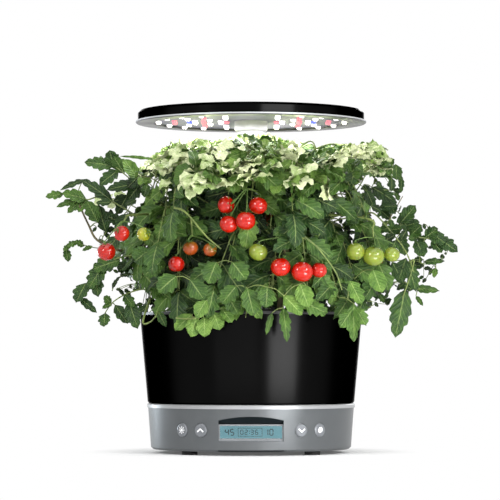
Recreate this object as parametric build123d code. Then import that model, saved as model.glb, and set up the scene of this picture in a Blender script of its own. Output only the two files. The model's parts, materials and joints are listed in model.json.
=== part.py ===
from build123d import *
import math
import os

# Countertop hydroponic garden: a round base with a display and four buttons, a water bowl,
# a grow deck with six pod holes, three grown tomato plants, and a round LED light hood on a
# central telescoping post.
# Units are millimetres. +Z is up and the front faces -Y. The origin is the centre of the
# footprint on the counter. Angles are in degrees about Z, counted from +X.

# ------------------------------------------------------------------ driving dimensions
fit_gap = 0.3                # between parts that slide or lift past each other
seat_gap = 0.15              # between a part and the recess that locates it
overrun = 1.0                # of a cut past the face it opens
root = 0.5                   # depth to which an added feature is sunk into its part

# base
foot_height = 4.5
foot_radius = 9.0
foot_offset = 70.0           # from the centre line, along X and along Y
foot_peg_radius = 3.0
base_bottom_radius = 116.5
base_top_radius = 120.0
base_height = 48.3
base_corner = 2.5
base_wall = 2.6
base_roof = 2.8
floor_plate = 2.5
board_standoff = 5.0
trim_radius = 121.15
trim_height = 4.7
trim_width = 14.0
trim_bevel = 1.2

# display pocket in the front of the base
pocket_half_width = 36.8
pocket_back = 107.0          # distance of its flat back from the centre line
pocket_floor_height = 11.9   # above the underside of the base
pocket_back_height = 19.4
pocket_brow_slope = 35.6     # of the sloping roof, degrees
pocket_wall = 2.0
bezel_thick = 1.2
bezel_sill = 3.3
bezel_top = 2.0
bezel_side = 1.7
window_thick = 0.8
lcd_thick = 3.0
lcd_lap = 2.5                # of the panel behind the opening

# buttons
button_radius = 7.8
button_height = 24.2         # of their centres above the underside of the base
button_inner_angle = 28.7    # from the front, either side
button_outer_angle = 41.2
button_proud = 1.3
button_crown = 1.0
button_tab = 2.4
button_tab_thick = 1.5
button_stem = 3.2
button_travel_gap = 1.5      # between stem and switch at rest
switch_size = 6.0
switch_height = 3.5
switch_plunger = 0.8         # part of the switch height above its body
board_thick = 1.6
button_board_distance = 98.0
button_board_width = 40.0
button_board_height = 24.0
board_peg_width = 3.5
board_peg_rise = 9.0

# electronics and inlet
main_board_width = 110.0
main_board_depth = 50.0
main_board_centre = 62.0
main_board_rise = 6.0
jack_height = 20.0           # of its axis above the underside of the base
jack_width = 11.0
jack_depth = 13.0
jack_bore_radius = 3.2
jack_bore_depth = 9.5
jack_pin_radius = 1.05
jack_flange = 2.0            # how far the flange behind the wall stands out
jack_flange_thick = 1.4
supply_blade_width = 4.0
supply_blade_thick = 1.2
supply_blade_spacing = 16.0
supply_blade_distance = 95.0
supply_blade_tail = 6.0      # below the roof of the base
supply_blade_stop = 1.5
contact_thick = 0.8
contact_margin = 1.5

# telescoping post
post_outer_radius = 13.0
post_wall = 1.5
post_outer_top = 175.0
post_flange_radius = 24.0
post_flange_thick = 3.0
post_middle_bottom = 137.0
post_middle_drop = 7.0        # of its top below the hub
post_middle_wall = 1.3
post_inner_bottom = 150.0
post_inner_wall = 1.4
collar_lap = 2.0
collar_height = 6.0

# bowl and its pump
bowl_bottom_radius = 120.4
bowl_top_radius = 129.5
bowl_height = 102.5
bowl_wall = 2.6
bowl_bevel = 2.0
column_gap = 1.0
column_wall = 2.0
column_below_rim = 4.0
pump_distance = 66.0
pump_width = 40.0
pump_depth = 32.0
pump_height = 28.0
pump_plate = 2.0
pump_well = 18.0
filter_thick = 8.0
filter_margin = 4.0
inlet_slot_width = 2.4
inlet_slot_length = 9.0
inlet_slot_offset = 5.4
impeller_radius = 9.0
impeller_hub_radius = 3.6
impeller_shaft_radius = 1.25
impeller_height = 9.0
impeller_vanes = 6
impeller_vane_height = 5.0
impeller_vane_thick = 1.2
impeller_vane_inner = 3.0
impeller_vane_outer = 8.0
riser_radius = 4.5
riser_wall = 1.2
riser_seat = 6.0
float_distance = 92.0
float_angle = 215.0
float_radius = 10.0
float_height = 12.0
float_pin_radius = 2.5
float_pin_rise = 46.0
float_stop = 2.5             # how far the stops stand out from the pin
float_seat = 4.0             # of its underside above the bowl's floor
clip_height = 2.0

# grow deck
deck_rim_height = 3.0
deck_plug = 3.0
pod_radius = 78.0
pod_count = 6
pod_hole_radius = 19.0
port_distance = 104.0
port_width = 40.0
port_depth = 20.0
flap_lap = 2.5
flap_thick = 1.8
hinge_radius = 1.6
hinge_wall = 1.6
hinge_clearance = 0.08       # of a pin in its bore, all round
flap_lip_depth = 2.0
flap_lip_height = 2.0
hinge_setback = 5.0
ear_width = 4.0

# pods
basket_flange = 2.5
basket_flange_thick = 1.6
basket_depth = 52.0
basket_wall = 1.4
basket_taper = 5.0
basket_windows = 6
window_width = 5.5
window_margin = 5.0
sponge_top_drop = 5.0
sponge_height = 34.0
cover_plug = 5.0
cover_tab_height = 4.0
cover_tab_width = 14.0
cover_tab_thick = 2.0

# light hood
hood_underside = 384.5
hood_radius = 135.0
hood_lip = 2.5               # how far the trim lip stands out from the shell
hood_rim_thick = 2.5
hood_rim_width = 21.0
hood_edge_height = 12.0
hood_wall = 2.2
hood_bevel = 3.0
led_board_lap = 4.0
heat_plate_radius = 100.0
heat_plate_thick = 1.5
led_size = 3.6
led_height = 1.2
hub_radius = 19.3
hub_height = 12.0
hub_collar_radius = 15.0
hub_collar_height = 6.0
hub_bevel = 2.0

# fasteners
screw_radius = 1.5
screw_length = 8.0
screw_head_radius = 2.8
screw_head_height = 1.6
screw_tower = 8.0

# plants
canopy_half_width = 215.0
canopy_half_depth = 158.0
stem_radius = 4.0
stem_top = 352.0
leaf_thick = 1.2
leaf_stagger = 9.0           # of a tier's outer leaves over its inner ones
leaf_layer = 5.0             # of the leaves of one side over those of the other
truss_radius = 1.4
stalk_radius = 0.9
calyx_gap = 0.7              # between a fruit and the end of its stalk
fruit_height = 0.9           # of half a fruit, as a share of its radius

# ------------------------------------------------------------------ derived levels
base_bottom = foot_height
base_top = base_bottom + base_height
floor_top = base_bottom + floor_plate
trim_top = base_top + trim_height
bowl_floor = trim_top + bowl_wall
bowl_top = trim_top + bowl_height
deck_top = bowl_top + deck_rim_height
bowl_draft = (bowl_top_radius - bowl_bottom_radius) / bowl_height
base_draft = (base_top_radius - base_bottom_radius) / base_height
column_bore = post_outer_radius + column_gap
column_radius = column_bore + column_wall
column_top = bowl_top - column_below_rim
post_bore = post_outer_radius - post_wall
middle_radius = post_bore - fit_gap
middle_bore = middle_radius - post_middle_wall
inner_radius = middle_bore - fit_gap
hood_rim_top = hood_underside + hood_rim_thick
shell_radius = hood_radius - hood_lip
hood_edge_top = hood_rim_top + hood_edge_height
led_board_top = hood_rim_top + board_thick
hub_top = hood_rim_top
hub_step = hub_top - hub_height
hub_bottom = hub_step - hub_collar_height
post_middle_top = hub_bottom - post_middle_drop
button_level = base_bottom + button_height
plant_angles = {"left": 180.0, "front": 300.0, "rear": 60.0}
cover_angles = {"right": 0.0, "rear_left": 120.0, "front_left": 240.0}


# ------------------------------------------------------------------ shaping helpers
def turned(corners, bevels=()):
    """Solid of revolution about Z from (radius, height) corners; bevels: (corner number, length)."""
    face = make_face(Polyline(*corners, close=True))
    for number, length in bevels:
        corner = Vector(*corners[number])
        face = chamfer(face.vertices().sort_by_distance(corner)[0], length)
    return revolve(Plane.XZ * face, Axis.Z)


def tube(outer, inner, low, high):
    """Straight tube about Z."""
    return turned([(inner, low), (outer, low), (outer, high), (inner, high)])


def rod(radius, low, high):
    """Solid cylinder about Z."""
    return Pos(0, 0, (low + high) / 2) * Cylinder(radius, high - low)


def facet_rod(radius, low, high, sides=8):
    """Many-sided rod about Z, for small round parts that nothing turns on."""
    return Pos(0, 0, low) * extrude(RegularPolygon(radius, sides), high - low)


def tapered(radius_low, radius_high, low, high, sides):
    """Many-sided tapered solid about Z, extruded from its wider end."""
    slope = abs(radius_high - radius_low) * math.cos(math.pi / sides) / (high - low)
    wide = RegularPolygon(max(radius_low, radius_high), sides)
    solid = extrude(wide, high - low, taper=math.degrees(math.atan(slope)))
    if radius_low < radius_high:
        return Pos(0, 0, high) * Rot(180, 0, 0) * solid
    return Pos(0, 0, low) * solid


def facet_tube(outer, inner, low, high, sides=12):
    """Many-sided tube about Z."""
    return facet_rod(outer, low, high, sides) - facet_rod(inner, low - overrun, high + overrun, sides)


def block(width, depth, low, high):
    """Box centred on Z."""
    return Pos(0, 0, (low + high) / 2) * Box(width, depth, high - low)


def polar(distance, angle):
    """Place on a circle about Z, with local X pointing outwards."""
    return Rot(0, 0, angle) * Pos(distance, 0, 0)


def outward(angle, level):
    """Plane at the centre line whose normal points outwards along an angle."""
    direction = Vector(math.cos(math.radians(angle)), math.sin(math.radians(angle)), 0)
    return Plane(origin=(0, 0, level), x_dir=(-direction.Y, direction.X, 0), z_dir=direction)


def base_radius(level):
    """Outer radius of the tapering base at a height."""
    return base_bottom_radius + base_draft * (level - base_bottom)


def bowl_radius(level):
    """Outer radius of the tapering bowl at a height."""
    return bowl_bottom_radius + bowl_draft * (level - trim_top)


def screw(low):
    """Pan-head screw that points up, with its head's underside of bearing at a height."""
    shank = facet_rod(screw_radius, low, low + screw_length)
    return shank + facet_rod(screw_head_radius, low - screw_head_height, low, 12)


def write(name, *solids):
    """One STEP file for a node, holding its solids."""
    shape = solids[0] if len(solids) == 1 else Compound(children=list(solids))
    export_step(shape, os.path.join("parts", name + ".step"))


# ------------------------------------------------------------------ base
base_bore = base_bottom_radius - base_wall
plate_radius = base_bore - seat_gap
base_screw_distance = plate_radius - screw_tower
base_screw_angles = [30, 150, 205, 335]
foot_places = [Pos(x, y, 0) for x in (-foot_offset, foot_offset) for y in (-foot_offset, foot_offset)]
button_angles = {
    "light": 270 - button_outer_angle,
    "up": 270 - button_inner_angle,
    "down": 270 + button_inner_angle,
    "feed": 270 + button_outer_angle,
}
button_board_angles = [270 + side * (button_inner_angle + button_outer_angle) / 2 for side in (-1, 1)]
button_hole_radius = button_radius + fit_gap
button_back = base_bore - fit_gap
pocket_floor = base_bottom + pocket_floor_height
pocket_back_top = pocket_floor + pocket_back_height
brow_rise = math.tan(math.radians(pocket_brow_slope))
window_half_width = pocket_half_width - bezel_side
window_low = pocket_floor + bezel_sill
window_high = pocket_back_top - bezel_top
supply_blade_places = [Pos(side * supply_blade_spacing / 2, supply_blade_distance, 0) for side in (-1, 1)]


def base_solid():
    """Outside form of the base as one solid, from its underside to its roof."""
    return turned(
        [(0, base_bottom), (base_bottom_radius, base_bottom), (base_top_radius, base_top), (0, base_top)],
        [(1, base_corner)],
    )


def pocket_prism(skin):
    """Display pocket grown by a skin: flat floor and back under a sloping brow."""
    back = -pocket_back + skin
    front = -base_top_radius - overrun
    low = pocket_floor - skin
    brow = pocket_back_top + skin / math.cos(math.radians(pocket_brow_slope)) - skin * brow_rise
    side = make_face(
        Polyline(
            (back, low), (front, low), (front, brow + brow_rise * (back - front)), (back, brow), close=True
        )
    )
    return extrude(Plane.YZ * side, pocket_half_width + skin, both=True)


def base_shell():
    """Tapered shell with its roof, display pocket, button holes and screw towers."""
    outside = base_solid()
    roof = base_top - base_roof
    shell = outside - rod(base_bore, base_bottom - overrun, roof)
    shell += outside & pocket_prism(pocket_wall)
    tower = block(screw_tower, screw_tower, floor_top, roof + base_roof / 2)
    tower -= facet_rod(screw_radius + seat_gap, floor_top - overrun, floor_top + screw_length)
    for angle in base_screw_angles:
        shell += polar(base_screw_distance, angle) * tower
    for angle in button_board_angles:
        low = button_board_distance + board_thick
        for rise in (-board_peg_rise, board_peg_rise):
            peg = block(board_peg_width, board_peg_width, low, base_bore + base_wall / 2)
            shell += outward(angle, button_level + rise) * peg
    shell -= pocket_prism(0)
    opening = block(2 * window_half_width, 3 * pocket_wall, window_low, window_high)
    shell -= Pos(0, -pocket_back + pocket_wall / 2, 0) * opening
    for angle in button_angles.values():
        hole = rod(button_hole_radius, pocket_back, base_top_radius + overrun)
        shell -= outward(angle, button_level) * hole
    shell -= rod(post_outer_radius + seat_gap, roof - overrun, base_top + overrun)
    for place in supply_blade_places:
        shell -= place * blade(roof - overrun, base_top + overrun, seat_gap)
    level = base_bottom + jack_height
    socket = Box(jack_width + 2 * seat_gap, 4 * base_wall, jack_width + 2 * seat_gap)
    shell -= Pos(0, base_radius(level), level) * socket
    return shell


def bottom_plate():
    """Floor plate with board standoffs and the holes of the screws and feet."""
    plate = rod(plate_radius, base_bottom, floor_top)
    board_x = main_board_width / 2 - board_standoff
    board_y = main_board_depth / 2 - board_standoff
    standoff = block(board_standoff, board_standoff, floor_top - root, floor_top + main_board_rise)
    for x in (-1, 1):
        for y in (-1, 1):
            place = Pos(x * board_x, main_board_centre + y * board_y, 0)
            plate += place * standoff
    for angle in base_screw_angles:
        place = polar(base_screw_distance, angle)
        plate -= place * facet_rod(screw_radius + seat_gap, base_bottom - overrun, floor_top + overrun)
        plate -= place * facet_rod(
            screw_head_radius + seat_gap, base_bottom - overrun, base_bottom + screw_head_height, 12
        )
    return plate


def feet():
    """Rubber feet under the floor plate."""
    return [place * facet_rod(foot_radius, 0, foot_height, 24) for place in foot_places]


def base_screws():
    """Screws that hold the floor plate to the towers of the shell."""
    fastener = screw(base_bottom + screw_head_height)
    return [polar(base_screw_distance, angle) * fastener for angle in base_screw_angles]


def trim_ring():
    """Bright ring between base and bowl, which the bowl stands on."""
    inner = trim_radius - trim_width
    return turned(
        [(inner, base_top), (trim_radius, base_top), (trim_radius, trim_top), (inner, trim_top)],
        [(2, trim_bevel)],
    )


# ------------------------------------------------------------------ display and buttons
def display_bezel():
    """Frame round the display, on the back of the pocket."""
    outer = block(
        2 * (pocket_half_width - seat_gap), bezel_thick, pocket_floor + seat_gap, pocket_back_top - seat_gap
    )
    inner = block(2 * window_half_width, 2 * bezel_thick, window_low, window_high)
    sill = Pos(0, -bezel_thick, 0) * block(
        2 * (pocket_half_width - seat_gap), bezel_thick, pocket_floor + seat_gap,
        pocket_floor + bezel_sill / 2,
    )
    return Pos(0, -pocket_back - bezel_thick / 2, 0) * (outer - inner + sill)


def lcd_window():
    """Clear pane in the bezel's opening."""
    pane = block(
        2 * (window_half_width - seat_gap), window_thick, window_low + seat_gap, window_high - seat_gap
    )
    return Pos(0, -pocket_back - window_thick / 2, 0) * pane


def lcd_module():
    """Display panel behind the pocket's back wall."""
    panel = block(2 * (window_half_width + lcd_lap), lcd_thick, window_low - lcd_lap, window_high + lcd_lap)
    glass = block(
        2 * (window_half_width - 2 * seat_gap), pocket_wall, window_low + 2 * seat_gap,
        window_high - 2 * seat_gap,
    )
    back = -pocket_back + pocket_wall
    return Pos(0, back + lcd_thick / 2, 0) * panel + Pos(0, back - pocket_wall / 2, 0) * glass


def button(angle):
    """Domed push button with two retaining tabs and a stem towards its switch."""
    face = base_radius(button_level) + button_proud
    back = button_back - button_tab_thick
    tip = button_board_distance + board_thick + switch_height + button_travel_gap
    cap = facet_rod(button_radius, back, face - button_crown, 24)
    cap += tapered(button_radius, button_radius - 1.5 * button_crown, face - button_crown, face, 24)
    cap += block(2 * (button_radius + button_tab), button_tab, back, button_back)
    cap += block(button_stem, button_stem, tip, back + root)
    return outward(angle, button_level) * (Rot(0, 0, 90) * cap)


def button_boards():
    """Two small boards, each with the tact switches of one pair of buttons."""
    boards = []
    lean = (button_outer_angle - button_inner_angle) / 2
    front = button_board_distance + board_thick
    switch_offset = math.tan(math.radians(lean)) * (front + switch_height)
    for angle in button_board_angles:
        board = Box(button_board_width, button_board_height, board_thick)
        board = Pos(0, 0, button_board_distance + board_thick / 2) * board
        for side in (-1, 1):
            body = block(switch_size, switch_size, front, front + switch_height - switch_plunger)
            place = Pos(side * switch_offset, 0, 0)
            board += place * body
            board += place * block(button_stem, button_stem, front, front + switch_height)
        boards.append(outward(angle, button_level) * board)
    return boards


def main_board():
    """Control board with its chips, coil, capacitors and connectors."""
    low = floor_top + main_board_rise
    top = low + board_thick
    board = block(main_board_width, main_board_depth, low, top)
    parts = [
        (-38, 8, 12, 12, 1.8), (-12, -10, 16, 10, 2.0), (14, 10, 12, 12, 6.0), (32, -8, 7, 18, 7.5),
        (45, 12, 9, 9, 10.0), (-36, -14, 18, 6, 6.5), (6, -14, 5, 5, 2.0), (-8, 12, 8, 5, 2.2),
    ]
    for x, y, width, depth, height in parts:
        board += Pos(x, y, 0) * block(width, depth, top, top + height)
    return Pos(0, main_board_centre, 0) * board


def power_jack():
    """Low-voltage inlet with its centre pin, set in the rear of the base."""
    level = base_bottom + jack_height
    face = base_radius(level) - base_wall / 2
    body = block(jack_width, jack_width, face - jack_depth, face)
    flange_width = jack_width + 2 * jack_flange
    flange_face = base_bore - fit_gap
    body += block(flange_width, flange_width, flange_face - jack_flange_thick, flange_face)
    body -= facet_rod(jack_bore_radius, face - jack_bore_depth, face + overrun, 16)
    body += facet_rod(jack_pin_radius, face - jack_bore_depth - overrun, face - overrun)
    return outward(90, level) * body


def blade(low, high, gap=0.0):
    """Flat supply contact, or the slot for it."""
    return block(supply_blade_width + 2 * gap, supply_blade_thick + 2 * gap, low, high)


def supply_blades():
    """Sprung contact blades that carry the pump's supply up to the bowl."""
    low = base_top - base_roof
    stop = blade(low - supply_blade_stop, low, supply_blade_stop)
    shape = blade(low - supply_blade_tail, trim_top) + stop
    return [place * shape for place in supply_blade_places]


# ------------------------------------------------------------------ telescoping post
def post_outer():
    """Fixed outer tube with its flange on the floor plate."""
    return turned([
        (post_bore, floor_top), (post_flange_radius, floor_top),
        (post_flange_radius, floor_top + post_flange_thick),
        (post_outer_radius, floor_top + post_flange_thick), (post_outer_radius, post_outer_top),
        (post_bore, post_outer_top),
    ])


def collar(tube_radius, next_radius, level):
    """Friction collar on a tube's end, which guides the next tube."""
    inner = (next_radius + fit_gap) / math.cos(math.pi / 24)
    return facet_tube(tube_radius + collar_lap, inner, level, level + collar_height, 24)


# ------------------------------------------------------------------ light hood
# Lights of one quarter of the board, by colour; each is mirrored into the other quarters.
led_quarter = {
    "white": [
        (109, 7), (97.5, 49), (80, 75), (57.5, 89), (30, 81), (74, 41), (66, 13), (48.5, 30), (30, 55), (36, 8),
    ],
    "red": [(90, 13), (56, 11), (55, 55), (29, 0)],
    "blue": [(72.5, 0)],
}


def hood_shell():
    """Shallow cover with a bevelled edge."""
    return turned(
        [
            (0, hood_edge_top - hood_wall), (shell_radius - hood_wall, hood_edge_top - hood_wall),
            (shell_radius - hood_wall, hood_rim_top), (shell_radius, hood_rim_top),
            (shell_radius, hood_edge_top), (0, hood_edge_top),
        ],
        [(4, hood_bevel)],
    )


def hood_rim():
    """Bright ring that closes the hood from below and carries the light board."""
    inner = hood_radius - hood_rim_width
    return turned(
        [
            (inner, hood_underside), (hood_radius, hood_underside), (hood_radius, hood_rim_top),
            (inner, hood_rim_top),
        ],
        [(1, 1.0)],
    )


def led_board():
    """Round light board that lies on the rim's inner edge."""
    outer = hood_radius - hood_rim_width + led_board_lap
    return tube(outer, inner_radius + fit_gap, hood_rim_top, led_board_top)


def heat_plate():
    """Twelve-sided aluminium spreader on the back of the light board."""
    return facet_tube(
        heat_plate_radius, inner_radius + fit_gap, led_board_top, led_board_top + heat_plate_thick
    )


def leds(colour):
    """All lights of one colour, square chips on the underside of the board."""
    chip = block(led_size, led_size, hood_rim_top - led_height, hood_rim_top)
    places = {(x * a, y * b) for x, y in led_quarter[colour] for a in (-1, 1) for b in (-1, 1)}
    return [Pos(x, y, 0) * chip for x, y in sorted(places)]


def hub():
    """Stepped hub under the light board, which seats on the inner tube."""
    body = facet_rod(hub_collar_radius, hub_bottom, hub_step, 36)
    body += tapered(hub_radius - hub_bevel, hub_radius, hub_step, hub_step + hub_bevel, 36)
    body += facet_rod(hub_radius, hub_step + hub_bevel, hub_top, 36)
    return body - rod(inner_radius + seat_gap, hub_bottom - overrun, hub_top + overrun)


# ------------------------------------------------------------------ bowl and pump
pump_cover_top = bowl_floor + pump_plate
pump_top = pump_cover_top + pump_height
pump_place = Pos(0, pump_distance, 0)
float_place = polar(float_distance, float_angle)
float_low = bowl_floor + float_seat
float_pin_top = bowl_floor + float_pin_rise
deck_low = bowl_top - deck_plug


def bowl():
    """Tapered water bowl with a centre column round the post and a guide pin for the float."""
    shape = turned(
        [
            (column_bore, trim_top), (bowl_bottom_radius, trim_top), (bowl_top_radius, bowl_top),
            (bowl_top_radius - bowl_wall, bowl_top), (bowl_radius(bowl_floor) - bowl_wall, bowl_floor),
            (column_radius, bowl_floor), (column_radius, column_top), (column_bore, column_top),
        ],
        [(1, bowl_bevel)],
    )
    pin = facet_rod(float_pin_radius, bowl_floor - bowl_wall / 2, float_pin_top)
    pin += facet_rod(float_pin_radius + float_stop, bowl_floor - bowl_wall / 2, float_low)
    shape += float_place * pin
    for place in supply_blade_places:
        shape -= place * blade(trim_top - overrun, trim_top + contact_thick, contact_margin + seat_gap)
    return shape


def bowl_contacts():
    """Contact pads in the bowl's underside, over the base's supply blades."""
    pad = blade(trim_top, trim_top + contact_thick, contact_margin)
    return [place * pad for place in supply_blade_places]


def float_ring():
    """Float that rides up and down its guide pin with the water."""
    bore = (float_pin_radius + fit_gap) / math.cos(math.pi / 16)
    ring = facet_tube(float_radius, bore, float_low, float_low + float_height, 16)
    return float_place * ring


def float_clip():
    """Clip on the guide pin that keeps the float on it."""
    low = float_pin_top - clip_height
    clip = facet_tube(float_pin_radius + float_stop, float_pin_radius, low, float_pin_top, 8)
    return float_place * clip


def pump_cover():
    """Cover under the pump, with the impeller's shaft and the inlet slots."""
    plate = block(pump_width, pump_depth, bowl_floor, pump_cover_top)
    plate += facet_rod(impeller_shaft_radius, bowl_floor, pump_cover_top + pump_well - overrun)
    for side in (-1, 1):
        slot = block(inlet_slot_width, inlet_slot_length, bowl_floor - overrun, pump_cover_top + overrun)
        plate -= Pos(side * inlet_slot_offset, 0, 0) * slot
    return pump_place * plate


def pump_body():
    """Pump housing with the impeller's well, an outlet at the top and an inlet at the front."""
    body = block(pump_width, pump_depth, pump_cover_top, pump_top)
    body -= rod(impeller_radius + 2 * fit_gap, pump_cover_top - overrun, pump_cover_top + pump_well)
    body -= facet_rod(riser_radius - riser_wall, pump_cover_top + pump_well - overrun, pump_top + overrun, 12)
    body -= facet_rod(riser_radius + seat_gap, pump_top - riser_seat, pump_top + overrun, 12)
    return pump_place * body


def pump_impeller():
    """Magnet rotor with straight vanes on its underside."""
    low = pump_cover_top + fit_gap
    plate = low + impeller_vane_height
    rotor = facet_rod(impeller_hub_radius, low, plate)
    for number in range(impeller_vanes):
        vane = Pos((impeller_vane_inner + impeller_vane_outer) / 2, 0, 0) * block(
            impeller_vane_outer - impeller_vane_inner, impeller_vane_thick, low, plate + root
        )
        rotor += Rot(0, 0, number * 360 / impeller_vanes) * vane
    rotor += facet_rod(impeller_radius, plate, plate + impeller_height, 16)
    rotor -= facet_rod(impeller_shaft_radius + fit_gap, low - overrun, plate + impeller_height + overrun, 12)
    return pump_place * rotor


def pump_filter():
    """Foam filter that clips against the front of the pump."""
    foam = block(pump_width - filter_margin, filter_thick, bowl_floor, pump_top - filter_margin)
    return Pos(0, pump_distance - pump_depth / 2 - filter_thick / 2, 0) * foam


def riser_tube():
    """Tube that carries the pumped water up to the deck."""
    return pump_place * facet_tube(riser_radius, riser_radius - riser_wall, pump_top - riser_seat, deck_low)


# ------------------------------------------------------------------ grow deck
hinge_distance = port_distance - port_depth / 2 - hinge_setback
hinge_level = deck_top + fit_gap + flap_thick
flap_half_width = port_width / 2 + flap_lap
flap_front = port_distance + port_depth / 2 + flap_lap
pod_flange_radius = pod_hole_radius + basket_flange
pod_flange_top = deck_top + basket_flange_thick


def ear(side):
    """Bored ear that carries one pin of the fill flap."""
    middle = side * (flap_half_width + fit_gap + ear_width / 2)
    lug = Pos(middle, -hinge_distance, 0) * block(
        ear_width, 2 * (hinge_radius + hinge_wall), deck_top - deck_rim_height / 2,
        hinge_level + hinge_radius + hinge_wall,
    )
    bore = Pos(middle, -hinge_distance, hinge_level) * Rot(0, 90, 0) * Cylinder(
        hinge_radius + hinge_clearance, 2 * ear_width
    )
    return lug, bore


def deck():
    """Grow deck that drops into the bowl, with six pod holes and the fill port."""
    plug_radius = bowl_radius(deck_low) - bowl_wall - fit_gap
    bore = post_outer_radius + collar_lap + fit_gap
    plate = turned([
        (bore, deck_low), (plug_radius, deck_low), (plug_radius, bowl_top), (bowl_top_radius, bowl_top),
        (bowl_top_radius, deck_top), (bore, deck_top),
    ])
    hole = rod(pod_hole_radius, deck_low - overrun, deck_top + overrun)
    for number in range(pod_count):
        plate -= polar(pod_radius, number * 360 / pod_count) * hole
    plate -= Pos(0, -port_distance, 0) * block(port_width, port_depth, deck_low - overrun, deck_top + overrun)
    for side in (-1, 1):
        lug, bore = ear(side)
        plate += lug
        plate -= bore
    return plate


def fill_flap():
    """Hinged flap over the fill port, with moulded pins and a finger lip."""
    depth = flap_front - hinge_distance
    plate = Pos(0, -hinge_distance - depth / 2, 0) * block(
        2 * flap_half_width, depth, deck_top + fit_gap, hinge_level
    )
    pin = Cylinder(hinge_radius, 2 * (flap_half_width + fit_gap + ear_width))
    lip = Pos(0, flap_lip_depth / 2 - flap_front, 0) * block(
        flap_half_width, flap_lip_depth, hinge_level - root, hinge_level + flap_lip_height
    )
    return plate + Pos(0, -hinge_distance, hinge_level) * Rot(0, 90, 0) * pin + lip


basket_low = deck_top - basket_depth
basket_top_radius = pod_hole_radius - fit_gap


def basket_radius(level):
    """Outer radius of the tapering basket at a height."""
    return basket_top_radius - basket_taper * (deck_top - level) / basket_depth


def grow_basket(angle):
    """Tapered basket with a flange on the deck and a window in every other facet."""
    floor = basket_low + basket_wall
    basket = tapered(basket_radius(basket_low), basket_top_radius, basket_low, deck_top, 12)
    basket += facet_rod(pod_flange_radius, deck_top, pod_flange_top, 24)
    basket -= tapered(
        basket_radius(floor) - basket_wall, basket_radius(pod_flange_top + overrun) - basket_wall, floor,
        pod_flange_top + overrun, 12,
    )
    for number in range(basket_windows):
        window = Pos(basket_top_radius, 0, 0) * block(
            basket_top_radius, window_width, floor + window_margin, deck_low - window_margin
        )
        basket -= Rot(0, 0, (number + 0.5) * 360 / basket_windows) * window
    return polar(pod_radius, angle) * basket


def sponge(angle):
    """Tapered growing sponge, wedged in its basket."""
    high = pod_flange_top - sponge_top_drop
    low = high - sponge_height
    side = basket_wall + seat_gap
    plug = tapered(basket_radius(low) - side, basket_radius(high) - side, low, high, 12)
    return polar(pod_radius, angle) * plug


def hole_cover(angle):
    """Plug for an unused pod hole, with a finger tab."""
    cap = facet_rod(pod_flange_radius, deck_top, pod_flange_top, 24)
    cap += facet_rod(basket_top_radius, deck_top - cover_plug, deck_top, 12)
    cap += block(cover_tab_thick, cover_tab_width, pod_flange_top, pod_flange_top + cover_tab_height)
    return polar(pod_radius, angle) * cap


# ------------------------------------------------------------------ plants
# Tiers of compound leaves: number of leaves, reach as shares of the canopy's half width and half
# depth, half width as a share of a leaf's length, and the heights of the stalk, the crest and the tip.
leaf_tiers = [
    (9, 0.70, 0.94, 0.32, 182, 197, 160),
    (12, 0.78, 0.78, 0.32, 212, 226, 195),
    (9, 0.82, 0.82, 0.32, 238, 252, 224),
    (12, 0.82, 0.82, 0.32, 278, 294, 280),
    (9, 0.76, 0.76, 0.32, 304, 328, 306),
    (12, 0.54, 0.54, 0.18, 338, 355, 345),
    (3, 0.16, 0.16, 0.50, 296, 318, 314),
    (3, 0.16, 0.16, 0.50, 330, 350, 352),
]
# Leaves that reach further than their tier, by tier and number, with their share.
long_leaves = {(2, 0): 1.19, (4, 4): 1.12}
# Half outline of a compound leaf, as shares of its length and of its half width.
leaf_outline = [(0.30, 0.03), (0.30, 0.60), (0.48, 0.95), (0.56, 0.30), (0.64, 0.90), (0.86, 0.50)]
# Trusses of fruit on each plant: where the truss leaves the stem, where it ends, and its fruits as
# (x, y, z, radius).
trusses = {
    "left": [
        (265, (-138, -104, 272), [(-164, -98, 231, 10.7), (-146, -114, 251, 9.0), (-121, -118, 250, 7.9)]),
        (268, (-68, -118, 268), [(-84, -130, 216, 9.4), (-68, -132, 234, 8.6), (-46, -134, 232, 7.8)]),
    ],
    "front": [
        (276, (-4, -140, 300), [
            (-28, -140, 282, 9.9), (-25, -146, 260, 10.2), (-6, -154, 263.5, 11.0), (8, -142, 281, 10.4),
        ]),
        (240, (44, -140, 252), [
            (33, -152, 212, 11.2), (57, -148, 207, 12.3), (76, -140, 209, 9.0), (8, -146, 229, 10.6),
        ]),
        (268, (136, -104, 267), [(118, -108, 231, 10.6), (139, -104, 226, 12.3), (160, -98, 228, 9.0)]),
    ],
    "rear": [
        (284, (6, 138, 296), [(-12, 142, 272, 11.0), (12, 148, 268, 11.8), (26, 138, 280, 9.6)]),
        (268, (112, 118, 267), [(98, 126, 220, 11.0), (120, 120, 214, 12.0)]),
    ],
}


def stem_place(plant):
    """Centre of a plant's stem in plan."""
    angle = math.radians(plant_angles[plant])
    return Vector(pod_radius * math.cos(angle), pod_radius * math.sin(angle), 0)


def limb(start, end, radius):
    """Six-sided limb between two points."""
    along = end - start
    return extrude(Plane(origin=start, z_dir=along) * RegularPolygon(radius, 6), along.length)


def plant_stem(plant):
    """Upright stem with its trusses and the short stalks of the fruits."""
    foot = stem_place(plant)
    low = pod_flange_top - sponge_top_drop
    stem = Pos(foot.X, foot.Y, 0) * tapered(stem_radius, stem_radius / 2, low, stem_top, 8)
    for level, end, fruits in trusses[plant]:
        tip = Vector(*end)
        stem += limb(foot + Vector(0, 0, level), tip, truss_radius)
        for x, y, z, radius in fruits:
            calyx = Vector(x, y, z + fruit_height * radius + calyx_gap)
            stem += limb(tip - Vector(0, 0, truss_radius / 2), calyx, stalk_radius)
    return stem


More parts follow.
